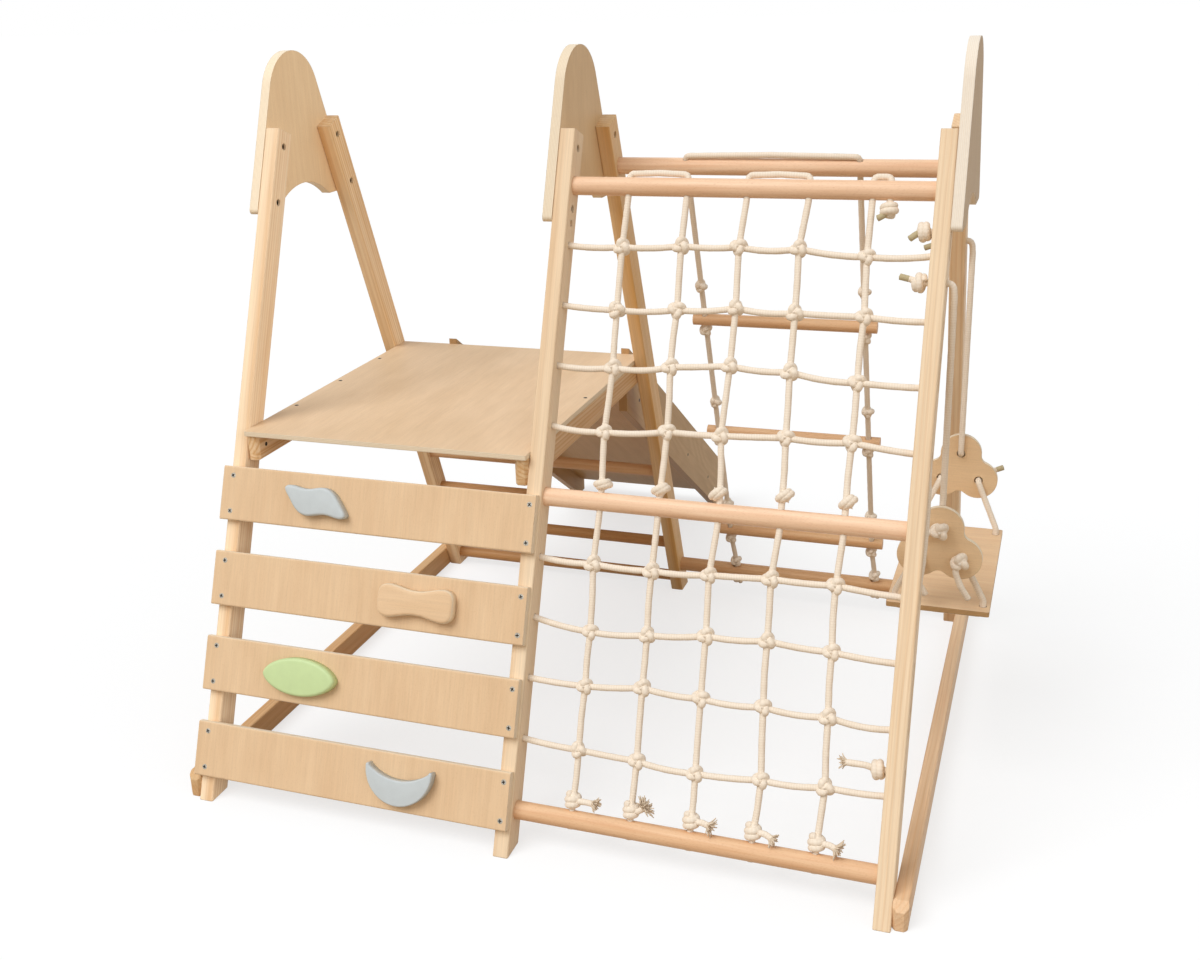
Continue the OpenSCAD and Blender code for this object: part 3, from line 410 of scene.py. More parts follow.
# Pine: strength of its grain, warmth, painted shade (below 1 for the rails, darker and browner as they sit
# in shadow) and the tone of its heartwood
PINES = {
    "leg_left_front": (0.75, 0.2, 1.0, PINE_HEART),
    "leg_left_rear": (1.1, 0.4, 1.0, (246, 200, 132)),
    "leg_middle_front": (0.48, 0.05, 1.0, PINE_HEART),
    "leg_middle_rear": (1.0, 0.9, 1.0, (240, 186, 100)),
    "leg_right_front": (0.45, 0.1, 1.0, PINE_HEART),
    "leg_right_rear": (0.6, 0.9, 1.0, PINE_HEART),
    "floor_rail_left": (0.5, 0.9, 0.8, PINK_HEART),
    "floor_rail_right": (0.5, 0.9, 0.97, PINK_HEART),
    "deck_rail_left": (1.3, 0.5, 0.92, PINE_HEART),
    "deck_rail_right": (1.3, 0.5, 0.88, PINE_HEART),
}
# Beech: painted shade, deeper for the bars behind and below, which sit in shadow
BAR_PAINTED_SHADE = {
    "rear_bar_4": 0.85, "rear_bar": 0.66, "bar_ladder": 0.8,
    "ladder_rung_1": 0.8, "ladder_rung": 0.86, "bar_bottom": 0.9, "": 1.0,
}
# Plywood: directions of its grain and face, strength of its figure and bands, tones of faces and edges
# The brown edges of the slide and the seat: partly the plywood's own darker edges, partly painted shade.
PALE_EDGES, BROWN_SHADED_EDGES = ((244, 229, 204), (220, 192, 154)), ((198, 160, 114), (170, 132, 90))
# Painted light: the right cap's white edges, as the fill lamp skips that cap.
LIT_WHITE_EDGES = ((255, 245, 230), (242, 223, 198))
FACES = {
    "climbing_board": (UP[FRONT], OUT[FRONT], 0.07, 0.2, ((237, 206, 168), (220, 184, 144)), PALE_EDGES),
    # The left cap's tones are a little lighter than the middle cap's: painted light.
    "cap_left": (Z, X, 0.1, 0.2, ((240, 212, 172), (222, 188, 146)), PALE_EDGES),
    "cap_middle": (Z, X, 0.1, 0.2, ((236, 206, 164), (216, 182, 136)), PALE_EDGES),
    # The right cap's tones are darker than the other caps': painted shade.
    "cap_right": (Z, X, 0.1, 0.2, ((218, 189, 147), (198, 167, 124)), LIT_WHITE_EDGES),
    # The slide's tones are darker and browner than the deck's: partly the plywood's own tone, partly
    # painted shade.
    "slide_wall": (DOWN_SLIDE, X, 0.35, 0.35, ((224, 190, 140), (196, 157, 108)), BROWN_SHADED_EDGES),
    "deck_panel": (Y, Z, 0.08, 0.12, ((239, 209, 173), (216, 182, 141)), PALE_EDGES),
    # Partly painted shade, as for the slide's walls.
    "slide_bed": (DOWN_SLIDE, OFF_SLIDE, 0.2, 0.25, ((232, 194, 138), (210, 168, 114)), BROWN_SHADED_EDGES),
    "swing_seat": (X, Z, 0.14, 0.25, ((250, 218, 178), (228, 184, 140)), BROWN_SHADED_EDGES),
    "swing_spreader": (X, Y, 0.06, 0.15, ((240, 210, 170), (226, 192, 150)), PALE_EDGES),
}
BONE_SEED, BONE_LOOK = 91, (0.1, 0.25, ((240, 208, 170), (222, 186, 144)), PALE_EDGES)


def nodes_from(*starts):
    return sorted(name for name in nodes if name.startswith(starts))


def dress_wood():
    seed = 0
    for name, look in PINES.items():
        seed += 1
        along = Y if "rail" in name else UP[FRONT if "front" in name else REAR]
        dress(name, pine("pine_" + name, along, X, seed, *look))
    for name in nodes_from("bar_", "rear_bar_", "ladder_rung_"):
        seed += 1
        shade = next(shade for start, shade in BAR_PAINTED_SHADE.items() if name.startswith(start))
        dress(name, beech("beech_" + name, X, Y, seed, shade))
    for start, (along, normal, *look) in FACES.items():
        for name in nodes_from(start):
            seed += 1
            dress(name, plywood("ply_" + name, along, normal, seed, *look))


# Meshes


def mesh_object(name, points, faces, uvs=None, smooth=True):
    mesh = bpy.data.meshes.new(name)
    mesh.from_pydata([tuple(p) for p in points], [], faces)
    if uvs is not None:
        layer = mesh.uv_layers.new(name="UVMap")
        for loop, uv in zip(layer.data, uvs):
            loop.uv = uv
    mesh.polygons.foreach_set("use_smooth", [smooth] * len(mesh.polygons))
    mesh.update()
    return new_object(name, mesh)


def finish_piece(obj, material, replaced, body="frame"):
    obj.data.materials.append(material)
    if body:
        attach(obj, body)
    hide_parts(*replaced)


# Ropes

COTTON = cotton()


def finish_rope(obj, replaced, body="frame"):
    finish_piece(obj, COTTON, replaced, body)


def rounded(points, radius):
    """The line with its corners turned into arcs of the given radius, where there is room."""
    line = [points[0]]
    for before, here, after in zip(points, points[1:], points[2:]):
        a, b = before - here, after - here
        if a.length < 1e-6 or b.length < 1e-6:
            continue
        turn = pi - a.angle(b)
        if turn < 0.02:
            line.append(here)
            continue
        reach = min(radius * tan(turn / 2), 0.48 * a.length, 0.48 * b.length)
        start, end = here + a.normalized() * reach, here + b.normalized() * reach
        steps = max(2, ceil(turn / 0.2))
        for k in range(steps + 1):
            t = k / steps
            line.append(start * (1 - t) ** 2 + here * (2 * t * (1 - t)) + end * t * t)
    line.append(points[-1])
    return line


def runs_of(line):
    """How far along a line each of its points lies."""
    return np.concatenate([[0], np.cumsum(np.linalg.norm(np.diff(line, axis=0), axis=1))])


def evened(line, count, endpoint=True):
    """The line again, with so many points an even step apart."""
    along = runs_of(line)
    at = np.linspace(0, along[-1], count, endpoint=endpoint)
    return np.stack([np.interp(at, along, values) for values in line.T], axis=1)


def spaced(points, step):
    line = np.array([tuple(p) for p in points])
    return evened(line, max(2, ceil(runs_of(line)[-1] / step) + 1))


def unit(vectors):
    return vectors / np.linalg.norm(vectors, axis=-1, keepdims=True)


# How a rope's radius wavers: share of it, and radians to the metre
WAVERS = ((0.018, 210), (0.012, 517))


class Tubes:
    """Rope surfaces round lines of points, gathered into one mesh."""

    def __init__(self):
        self.points, self.faces, self.uvs = [], [], []

    def add(self, line, radius, sides=12, closed=False, radii=None, bound=0.0, loose=False):
        """One rope: the last length of it that is bound is marked, and so is a loose yarn."""
        line = np.asarray(line, float)
        count = len(line)
        if closed:
            tangents = unit(np.roll(line, -1, axis=0) - np.roll(line, 1, axis=0))
        else:
            tangents = unit(np.gradient(line, axis=0))
        normal = unit(np.cross(tangents[0], (0.3, 0.5, 0.8)))
        runs = runs_of(line)
        base = len(self.points)
        phase = rng.random() * 6
        for k in range(count):
            normal = unit(normal - tangents[k] * np.dot(normal, tangents[k]))
            other = np.cross(tangents[k], normal)
            size = radius if radii is None else radii[k]
            size *= 1 + sum(a * sin(runs[k] * w + n * phase) for n, (a, w) in enumerate(WAVERS, 1))
            for j in range(sides):
                a = tau * j / sides
                self.points.append(line[k] + size * (cos(a) * normal + sin(a) * other))
        rings = count if closed else count - 1
        for k in range(rings):
            k2 = (k + 1) % count
            end = runs[k] + np.linalg.norm(line[k2] - line[k])
            mark = LOOSE if loose else WAXED if runs[-1] - runs[k] < bound else 0
            near, far = base + k * sides, base + k2 * sides
            for j in range(sides):
                j2 = (j + 1) % sides
                self.faces.append((near + j, near + j2, far + j2, far + j))
                u, u2 = mark + j / sides, mark + (j + 1) / sides
                self.uvs += [(u, runs[k]), (u2, runs[k]), (u2, end), (u, end)]
        if not closed:
            mark = LOOSE if loose else WAXED if bound else 0
            bulge = radius * 0.25
            self._cap(base, sides, line[0] - tangents[0] * bulge, (mark, runs[0]), True)
            last = base + (count - 1) * sides
            self._cap(last, sides, line[-1] + tangents[-1] * bulge, (mark, runs[-1]), False)
        return self

    def _cap(self, first, sides, tip_at, uv, back):
        tip = len(self.points)
        self.points.append(tip_at)
        for j in range(sides):
            pair = (first + j, first + (j + 1) % sides)
            self.faces.append((tip, *(pair[::-1] if back else pair)))
            self.uvs += [uv] * 3

    def build(self, name):
        return mesh_object(name, self.points, self.faces, self.uvs)


# In metres: radius of a rope, step of its rings and radius of its bends, and the same of a tail
ROPE_RADIUS, STEP, BEND = ROPE_R * MM, 0.004, 0.008
TAIL_RADIUS, TAIL_STEP, TAIL_BEND = ROPE_RADIUS * 0.96, 0.003, 0.02
# Radius of a yarn, its length, and its radii from root to tip
YARN_R, YARN_LEN = 0.0012, 0.0145
YARN_RADII = (0.0013, 0.0013, 0.0013, 0.0012, 0.0012, 0.0011, 0.0009)
# Points round an overhand knot, and to each turn of a wound one
TREFOIL_STEPS, TURN_STEPS = 54, 22
# Wound knots: turns, radius and height of the winding, radius of its rope, reach and radius of the core
WOUND = {
    "end": (1.9, 0.0112, 0.014, 0.006, 0.0125, 0.0115),
    "foot": (2.5, 0.0083, 0.0225, 0.0064, 0.016, 0.0105),
    "middle": (1.55, 0.0112, 0.0075, 0.0061, 0.0105, 0.0112),
    "top": (2.0, 0.0096, 0.016, 0.006, 0.0125, 0.0105),
    "anchor": (2.0, 0.0108, 0.0145, 0.006, 0.0125, 0.0112),
}
# Overhand knots: half width and depth of the loops, radius of their rope, reach and radius of the core
TIED = {
    "crossing": (0.0098, 0.0052, 0.0061, 0.0098, 0.0096),
    "ladder": (0.0082, 0.0056, 0.0058, 0.0125, 0.0088),
    "stopper": (0.0108, 0.0058, 0.0061, 0.0108, 0.0115),
}


def trefoil(centre, up, size, depth, turn):
    """A tight overhand knot, closed on itself, seen along its axis."""
    ahead = X.cross(up)
    line = []
    for t in np.linspace(0, tau, TREFOIL_STEPS, endpoint=False):
        a = (sin(t) + 2 * sin(2 * t)) / 3
        b = (cos(t) - 2 * cos(2 * t)) / 3
        a, b = a * cos(turn) - b * sin(turn), a * sin(turn) + b * cos(turn)
        line.append(centre + X * (a * size) + up * (b * size) - ahead * (sin(3 * t) * depth))
    return line


def coil(centre, axis, aside, turns, radius, height, turn):
    """Turns of rope wrapped round an axis, as a stopper knot shows them."""
    aside = (aside - axis * aside.dot(axis)).normalized()
    third = axis.cross(aside)
    steps = round(turns * TURN_STEPS)
    line = []
    for k in range(steps + 1):
        a = turn + tau * turns * k / steps
        ends = min(1.0, 4 * k / steps, 4 * (steps - k) / steps + 0.25)
        r = radius * (0.62 + 0.38 * ends)
        off = aside * (r * cos(a)) + third * (r * sin(a))
        line.append(centre + off + axis * (height * (k / steps - 0.5)))
    return line


def core(tubes, centre, axis, reach, radius):
    """The rope inside a knot, so that no daylight shows through it."""
    steps = (-1, -0.75, -0.4, 0, 0.4, 0.75, 1)
    line = [centre + axis * (reach * k) for k in steps]
    tubes.add(line, radius, radii=[radius * sqrt(1.02 - k * k) for k in steps])


def wind(tubes, kind, centre, axis, aside, turn):
    turns, radius, height, rope_r, reach, core_r = WOUND[kind]
    tubes.add(coil(centre, axis, aside, turns, radius, height, turn), rope_r)
    core(tubes, centre, axis, reach, core_r)


def tie(tubes, kind, centre, up, axis, turn, grow=1.0):
    size, depth, rope_r, reach, core_r = TIED[kind]
    tubes.add(trefoil(centre, up, size * grow, depth, turn), rope_r, closed=True)
    core(tubes, centre, axis, reach, core_r)


def frayed(tubes, at, ahead, open_by, count):
    """Loose yarns that open out from a rope's end."""
    ahead = ahead.normalized()
    aside = ahead.cross(Vector((0.2, 0.3, 0.9))).normalized()
    third = ahead.cross(aside)
    for k in range(count):
        a = 2.4 * k + 0.5 * rng.random()
        r = sqrt((k + 0.6) / count)
        off = (aside * cos(a) + third * sin(a)) * r
        far = YARN_LEN * (0.75 + 0.45 * rng.random()) * (1 - 0.25 * r)
        curl = Vector((rng.uniform(-1, 1), rng.uniform(-1, 1), rng.uniform(-1, 1))) * 0.45
        line = []
        for t in np.linspace(0, 1, len(YARN_RADII)):
            bend = off * (0.0042 + open_by * t * (0.4 + 0.6 * t)) + curl * (far * t * t * (1.6 - 1.1 * t))
            line.append(at + ahead * (far * t * (1 - 0.25 * r * t)) + bend)
        tubes.add(line, YARN_R, sides=6, radii=YARN_RADII, loose=True)


# Net: drift of each knot from an even grid, along the row and up the slope, top row first

NET_DRIFT = (
    ((-3, 9), (-2, 14), (-6, 15), (-9, 15), (-1, 5)),
    ((-2, 5), (1, 10), (-2, 18), (-6, 14), (3, 13)),
    ((0, 11), (-2, 18), (-3, 26), (-6, 22), (1, 11)),
    ((-5, 5), (3, 14), (-8, 14), (-3, 19), (1, 19)),
    ((-3, 7), (-2, 6), (-7, 10), (-7, 15), (-5, 16)),
    ((3, -4), (0, 3), (-3, 14), (-4, 19), (-2, 14)),
    ((3, 8), (0, 19), (-2, 15), (-1, 16), (1, 15)),
    ((2, 4), (2, 1), (0, -4), (6, 3), (6, 8)),
)
LOOP_LEFT_X, LOOP_RIGHT_X = -LEG_HALF + ROPE_R + GAP, RIGHT_X + LEG_HALF - ROPE_R - GAP
START_DROP, END_RISE = 39, 40
COLUMNS = range(5)
# The lowest row above the middle bar
MIDDLE_ROW = 3
INNER_KNOT_X = RIGHT_X - LEG_HALF - KNOT_R - GAP
# An upright's stops under and over a bar, and on the top bar
UNDER_BAR, OVER_BAR, OVER_TOP = BAR_R + 6, BAR_R + 8, BAR_TOP + BAR_R + ROPE_R + GAP
# The fifth upright's step aside at the top, and the end of its tail
TOP_TAIL_STEP, TOP_TAIL_END = 28, (539, 1109, 5)
# The cross rope's tails: stops along the row, up the slope and out, waxed length, and loose yarns
CROSS_TAILS = (
    (((603, -4, 4), (593, -13, 8)), 0.02, None),
    (((594, 5, 5), (561, 5, 7)), 0.0, (0.009, 24)),
)
NET_ROWS = [
    low + NET_EDGE + k * (high - low - 2 * NET_EDGE) / 3
    for low, high in ((BAR_MID, BAR_TOP), (BAR_LOW, BAR_MID)) for k in (3, 2, 1, 0)
]


def net_x(i):
    return NET_MID_X + (i - 2) * NET_PITCH


def crossing(r, i):
    dx, ds = NET_DRIFT[r][i]
    return net_x(i) + dx, NET_ROWS[r] + ds


def front(x, s, out=0.0):
    return slope(FRONT, x, s, out)


def hung(a, b, sag, parts=6):
    """Points between two places of a slack rope, without the first."""
    shares = [k / parts for k in range(1, parts + 1)]
    return [a.lerp(b, t) - Z * (4 * sag * MM * t * (1 - t)) for t in shares]


def rope_along(name, route, bend=BEND):
    line = spaced(rounded(route, bend), STEP)
    return Tubes().add(line, ROPE_RADIUS).build(name), line


def finish_cord(rope, pieces, replaced):
    for piece in [rope, *pieces]:
        finish_rope(piece, [replaced])


def cross_rope():
    """The rope that runs to and fro through the legs, with the knots that tie the uprights to it."""
    start, finish = NET_ROWS[0] + NET_RISE + START_DROP, NET_ROWS[-1] + NET_RISE + END_RISE
    route = [front(INNER_KNOT_X, start), front(LOOP_RIGHT_X, start)]
    ends = [(LOOP_RIGHT_X, RIGHT_X - LEG_HALF), (LOOP_LEFT_X, LEG_HALF)]
    for r, even in enumerate(NET_ROWS):
        level = even + NET_RISE
        step = 1 if r % 2 else -1
        first, last = ends[::-step]
        route += [front(first[0], level), front(first[1], level)]
        for i in COLUMNS[::step]:
            route += hung(route[-1], front(*crossing(r, i)), rng.uniform(0.5, 5.5))
        route += hung(route[-1], front(last[1], level), rng.uniform(1, 4))
        route.append(front(last[0], level))
        if r == MIDDLE_ROW:
            # The long loop past the middle bar stands a little out of its groove.
            drop = even - NET_ROWS[r + 1]
            for share, off in ((0.25, 4), (0.5, 5.5), (0.75, 4.5)):
                route.append(front(last[0] + off, level - share * drop))
    route += [front(LOOP_RIGHT_X, finish), front(INNER_KNOT_X, finish)]
    rope, line = rope_along("net_cross_rope", route)
    knots = Tubes()
    for r in range(len(NET_ROWS)):
        for i in COLUMNS:
            grow = rng.uniform(0.96, 1.12)
            middle = front(*crossing(r, i), rng.uniform(-0.5, 1.5))
            turn = rng.choice((0.2, 0.7, 1.2, 2.6)) + rng.uniform(-0.25, 0.25)
            tie(knots, "crossing", middle, UP[FRONT], OUT[FRONT], turn, grow)
    for s in (start, finish):
        wind(knots, "end", front(INNER_KNOT_X, s), X, UP[FRONT], rng.random() * 6)
    tails = Tubes()
    for s, (stops, bound, fray) in zip((start, finish), CROSS_TAILS):
        way = [front(INNER_KNOT_X, s)] + [front(x, s + rise, out) for x, rise, out in stops]
        add_tail(tails, way, fray, bound)
    pieces = [knots.build("net_knots"), tails.build("net_cross_tails")]
    finish_cord(rope, pieces, "climbing_net")


def add_tail(tubes, points, fray=None, bound=0.0):
    """A short free end of rope, cut clean, bound with wax or opened into yarns."""
    line = spaced(rounded(points, TAIL_BEND), TAIL_STEP)
    tubes.add(line, TAIL_RADIUS, bound=bound)
    if fray:
        ahead = Vector(line[-1] - line[-3])
        frayed(tubes, Vector(line[-1]) - ahead * 0.7, ahead, *fray)


def column(i, upwards):
    """The way of an upright rope between the two outer bars."""
    x = net_x(i)
    stops = [front(x, BAR_LOW - BAR_R), front(x, BAR_LOW + OVER_BAR)]
    for r in reversed(range(len(NET_ROWS))):
        if r == MIDDLE_ROW:
            stops += [front(x, BAR_MID - UNDER_BAR), front(x, BAR_MID + OVER_BAR)]
        middle = front(*crossing(r, i))
        stops += [stops[-1].lerp(middle, 0.5) + X * (rng.uniform(-1.5, 1.5) * MM), middle]
    stops += [front(x, BAR_TOP - UNDER_BAR), front(x, OVER_TOP)]
    return stops if upwards else stops[::-1]


# Each upright's frayed foot: reach of its yarns along the bar, start up the slope, spread and count
FOOT_TAILS = (
    (170, 104, 0.009, 32),
    (252, 113, 0.018, 56),
    (367, 101, 0.013, 36),
    (471, 98, 0.009, 30),
    (574, 100, 0.014, 38),
)
# Its overhand knot above the middle bar: how far aside, how far up, and the slant of its turn
MID_KNOTS = ((2, 30, 0.15), (1, 30, 0.42), (-4, 32, 0.62), (4, 38, 0.6), (3, 37, 0.66))


def upright_knots(knots, tails, i):
    x, foot = net_x(i), BAR_LOW + BAR_R + KNOT_R + GAP
    wind(knots, "foot", front(x, foot + 2, 1), UP[FRONT], X, 1.1 + 0.3 * rng.random())
    off, rise, slant = MID_KNOTS[i]
    axis = UP[FRONT] * cos(slant) - X * sin(slant)
    wind(knots, "middle", front(x + off, BAR_MID + rise), axis, X, 3.4)
    end_x, end_s, *fray = FOOT_TAILS[i]
    reach = end_x - x
    tail = [front(x + 2, foot + 2, 4), front(x + 0.45 * reach, foot + 4, 8)]
    add_tail(tails, tail + [front(x + 0.72 * reach, end_s, 9)], fray)


def upright_ropes():
    for first in COLUMNS[::2]:
        paired = first < COLUMNS[-1]
        knots, tails = Tubes(), Tubes()
        route = column(first, True)
        if paired:
            rise = front(net_x(first + 0.5), OVER_TOP + 2)
            route += [rise] + column(first + 1, False)
        else:
            under = BAR_TOP - BAR_R - KNOT_R - GAP
            side_x = net_x(first) + TOP_TAIL_STEP
            route += [front(side_x, OVER_TOP), front(side_x, under)]
            wind(knots, "top", front(side_x, under - 1), UP[FRONT], X, 0.6)
            tail = [front(side_x, under, 2), front(side_x - 9, under - 12, 4), front(*TOP_TAIL_END)]
            add_tail(tails, tail, bound=0.016)
        name = f"net_upright_{first // 2 + 1}"
        rope, line = rope_along(name, route)
        for i in (first, first + 1) if paired else (first,):
            upright_knots(knots, tails, i)
        pieces = [knots.build(name + "_knots"), tails.build(name + "_tails")]
        finish_cord(rope, pieces, "climbing_net")


# Rope ladder


# How far the ladder's feet lie to one side
LADDER_DRIFT = 5


def back(x, s):
    return slope(REAR, x, s)


def ladder():
    up, sides, knots = UP[REAR], [], Tubes()
    for x in LADDER_X:
        foot = x + LADDER_DRIFT
        way = [back(foot, LADDER_BAR - BAR_R - 20), back(foot, LADDER_BAR + BAR_R + 14)]
        for level in (LADDER_BAR + BAR_R + KNOT_R, LADDER_BAR - BAR_R - KNOT_R + 2):
            tie(knots, "ladder", back(foot, level), up, up, 0.4)
        for s in RUNG_S:
            under, above = s - RUNG_R - KNOT_R - GAP, s + LADDER_KNOT_UP
            way += [back(x, under - 6), back(x, s), back(x, above)]
            for level, spin in ((under, 0.5), (above, 1.6)):
                middle = back(x + rng.uniform(-1, 1), level)
                tie(knots, "ladder", middle, up, up, spin + rng.uniform(-0.4, 0.4))
        sides.append(way + [back(x, BAR_TOP - BAR_R - 5), back(x, OVER_TOP)])
    top = back(sum(LADDER_X) / 2, OVER_TOP + 3)
    rope, line = rope_along("ladder_side_rope", sides[0] + [top] + sides[1][::-1])
    finish_cord(rope, [knots.build("ladder_knots")], "ladder_rope")


# Swing ropes: bend at the leg in metres, half the stretch that turns with the joint, sink of the stoppers

SWING_BEND, BLEND_HALF, STOPPER_SINK = 0.011, 34, 3
SLING_Z = SPREADER_Z - SPREADER_HOLE_DROP
# Tails inside the legs: stops along the row, and rise of their ends
ANCHOR_TAIL_X, ANCHOR_RISE = (602, 582), {FRONT: 9, REAR: -15}


def beside(x, y, z, *offsets):
    return [row(x + dx, y + dy, z + dz) for dx, dy, dz in offsets]


def swing_knots(fixed, moving, side, y, knot_y):
    """The knot inside the leg, and the stoppers outside the spreader."""
    anchor, away = row(INNER_KNOT_X, y, SWING_HOLE_Z), Y * side
    wind(fixed, "anchor", anchor, X, Z, 1.0)
    rises = (ANCHOR_RISE[side] / 2, ANCHOR_RISE[side])
    tail = [row(x, y, SWING_HOLE_Z + rise) for x, rise in zip(ANCHOR_TAIL_X, rises)]
    add_tail(fixed, [anchor] + tail, bound=0.015)
    tie(moving, "stopper", row(SWING_X, knot_y, SPREADER_Z), Z, away, 0.4)
    offsets = (0, 0, 2), (-16, 4 * side, -1), (-34, 5 * side, -9)
    add_tail(moving, beside(SWING_X, knot_y, SPREADER_Z, *offsets))
    for hand in (-1, 1):
        x = SWING_X + hand * SPREADER_HOLE_X
        tie(moving, "stopper", row(x, knot_y, SLING_Z), Z, away, 2.0 + hand)
        if side == FRONT:
            offsets = (-4 * hand, 0, -2), (-7 * hand, -5, -16), (4, -6, -42), (17, -2, -64)
        else:
            offsets = (0, 0, 2), (22 * hand, 4, 12), (43 * hand, 3, 22)
        add_tail(moving, beside(x, knot_y, SLING_Z, *offsets), bound=0.0 if side == FRONT else 0.014)


def swing_ropes():
    under = SEAT_Z - SEAT_T - ROPE_R - GAP
    for side, end in ((FRONT, "front"), (REAR, "rear")):
        y = side * SWING_Y
        outer = side * (SWING_Y + ROPE_R + GAP + SPREADER_T)
        # The hanging rope runs out through the leg and bends down beside it, past the pivot to the
        # spreader.
        route = [row(INNER_KNOT_X, y, SWING_HOLE_Z), row(SWING_X - 2, y, SWING_HOLE_Z + 1)]
        route += [row(SWING_X, y, z) for z in (SWING_HOLE_Z - 22, PIVOT_Z, SPREADER_Z)]
        route.append(row(SWING_X, outer, SPREADER_Z))
        rope, line = rope_along(f"swing_line_{end}", route, SWING_BEND)
        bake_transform(rope)
        finish_rope(rope, [f"swing_anchor_{end}", f"swing_rope_{end}"], None)
        fixed, moving = Tubes(), Tubes()
        swing_knots(fixed, moving, side, y, outer + side * (KNOT_R + GAP - STOPPER_SINK))
        fixed, moving = fixed.build(f"swing_anchor_knot_{end}"), moving.build(f"swing_knots_{end}")
        finish_rope(fixed, [f"swing_anchor_{end}"])
        finish_rope(moving, [f"swing_rope_{end}"], "swing")
        ways = []
        for hand in (-1, 1):
            x, seat_x = SWING_X + hand * SPREADER_HOLE_X, SWING_X + hand * SEAT_HOLE_X
            way = [row(x, outer, SLING_Z), row(x, y, SLING_Z)]
            ways.append(way + [row(seat_x, side * SEAT_HOLE_Y, z) for z in (SEAT_Z + ROPE_D, under)])
        sling, line = rope_along(f"swing_sling_rope_{end}", ways[0] + ways[1][::-1])
        finish_rope(sling, [f"swing_sling_{end}"], "swing")


# Climbing holds


HOLD_LEN, HOLD_H = 146, 68
WAVE_H, WAVE_SHEAR, WAVE_SWING, WAVE_STEP = 50, 20, 3, 40
MOON_R, MOON_TIP_R, MOON_BITE_R, MOON_BITE_UP, MOON_UP = 64, 3.4, 94, 74.5, 27


def blunt(v, power):
    return copysign(abs(v) ** power, v)


def leaf_outline(a):
    return HOLD_LEN / 2 * cos(a), HOLD_H / 2 * blunt(sin(a), 6 / 5)


def bone_outline(a):
    c = blunt(cos(a), 0.5)
    return HOLD_LEN / 2 * c, HOLD_H / 2 * blunt(sin(a), 0.5) * (1 - 0.19 * (1 + cos(pi * c)))


def wave_outline(a):
    c, v = blunt(cos(a), 0.5), blunt(sin(a), 0.5)
    x = (HOLD_LEN / 2 - WAVE_SHEAR) * c - WAVE_SHEAR * v
    return x, WAVE_H / 2 * v + WAVE_SWING * sin(pi * x / WAVE_STEP)


def arc(x, y, radius, start, end, count):
    return [(x + radius * cos(a), y + radius * sin(a)) for a in np.linspace(start, end, count)]


def moon_outline():
    """Round below, a shallow bite above and small round tips."""
    lower = arc(0, 0, MOON_R, -pi, 0, 80)
    right = arc(MOON_R - MOON_TIP_R, 0, MOON_TIP_R, 0, pi * 0.8, 8)
    start = atan2(right[-1][1] - MOON_BITE_UP, right[-1][0])
    bite = arc(0, MOON_BITE_UP, MOON_BITE_R, start, -pi - start, 60)
    left = [(-x, y) for x, y in right[::-1]]
    return [(x, y + MOON_UP) for x, y in lower + right[1:] + bite[1:-1] + left[:-1]]


def even_outline(points, count):
    """A closed outline again, with points an even step apart and anticlockwise."""
    ring = np.array(points + points[:1], float)
    if np.sum(ring[:-1, 0] * ring[1:, 1] - ring[1:, 0] * ring[:-1, 1]) < 0:
        ring = ring[::-1]
    return evened(ring, count, endpoint=False)


def hold(name, board, share, outline, material, round_r=6.0, count=120):
    """A grip on a climbing board, with its front edge rounded over."""
    ring = even_outline(outline, count)
    ahead = unit(np.roll(ring, -1, axis=0) - np.roll(ring, 1, axis=0))
    for _ in range(3):
        ahead = unit(ahead + np.roll(ahead, 1, axis=0) + np.roll(ahead, -1, axis=0))
    inward = np.stack([-ahead[:, 1], ahead[:, 0]], axis=1)
    levels = [(0.0, 0.0), (HOLD_T - round_r, 0.0)]
    for k in range(1, 7):
        a = pi / 2 * k / 6
        levels.append((HOLD_T - round_r + round_r * sin(a), round_r * (1 - cos(a))))
    centre_x = LEFT_X * (1 - share)
    centre_s = BOARD_FIRST + (board - 1) * BOARD_PITCH
    face = LEG_D / 2 + BOARD_T
    points, faces = [], []
    for height, inset in levels:
        for x, s in ring + inward * inset:
            points.append(front(centre_x + x, centre_s + s, face + height))
    top = (len(levels) - 1) * count
    for near in range(0, top, count):
        far = near + count
        for j in range(count):
            j2 = (j + 1) % count
            faces.append((near + j, near + j2, far + j2, far + j))
    faces += [tuple(range(top, top + count)), tuple(range(count - 1, -1, -1))]
    obj = mesh_object("grip_" + name, points, faces)
    finish_piece(obj, material, ["hold_" + name])


def holds():
    around = np.linspace(0, tau, 240, endpoint=False)
    blue = paint("paint_blue_grey", (197, 205, 208))
    green = paint("paint_green", (200, 222, 164))
    ply = plywood("ply_hold_bone", X, OUT[FRONT], BONE_SEED, *BONE_LOOK)
    hold("moon", 1, 0.677, moon_outline(), blue, 3.0, 260)
    hold("leaf", 2, 0.312, [leaf_outline(a) for a in around], green)
    hold("bone", 3, 0.677, [bone_outline(a) for a in around], ply)
    hold("wave", 4, 0.311, [wave_outline(a) for a in around], blue, 5.0)


# Screws


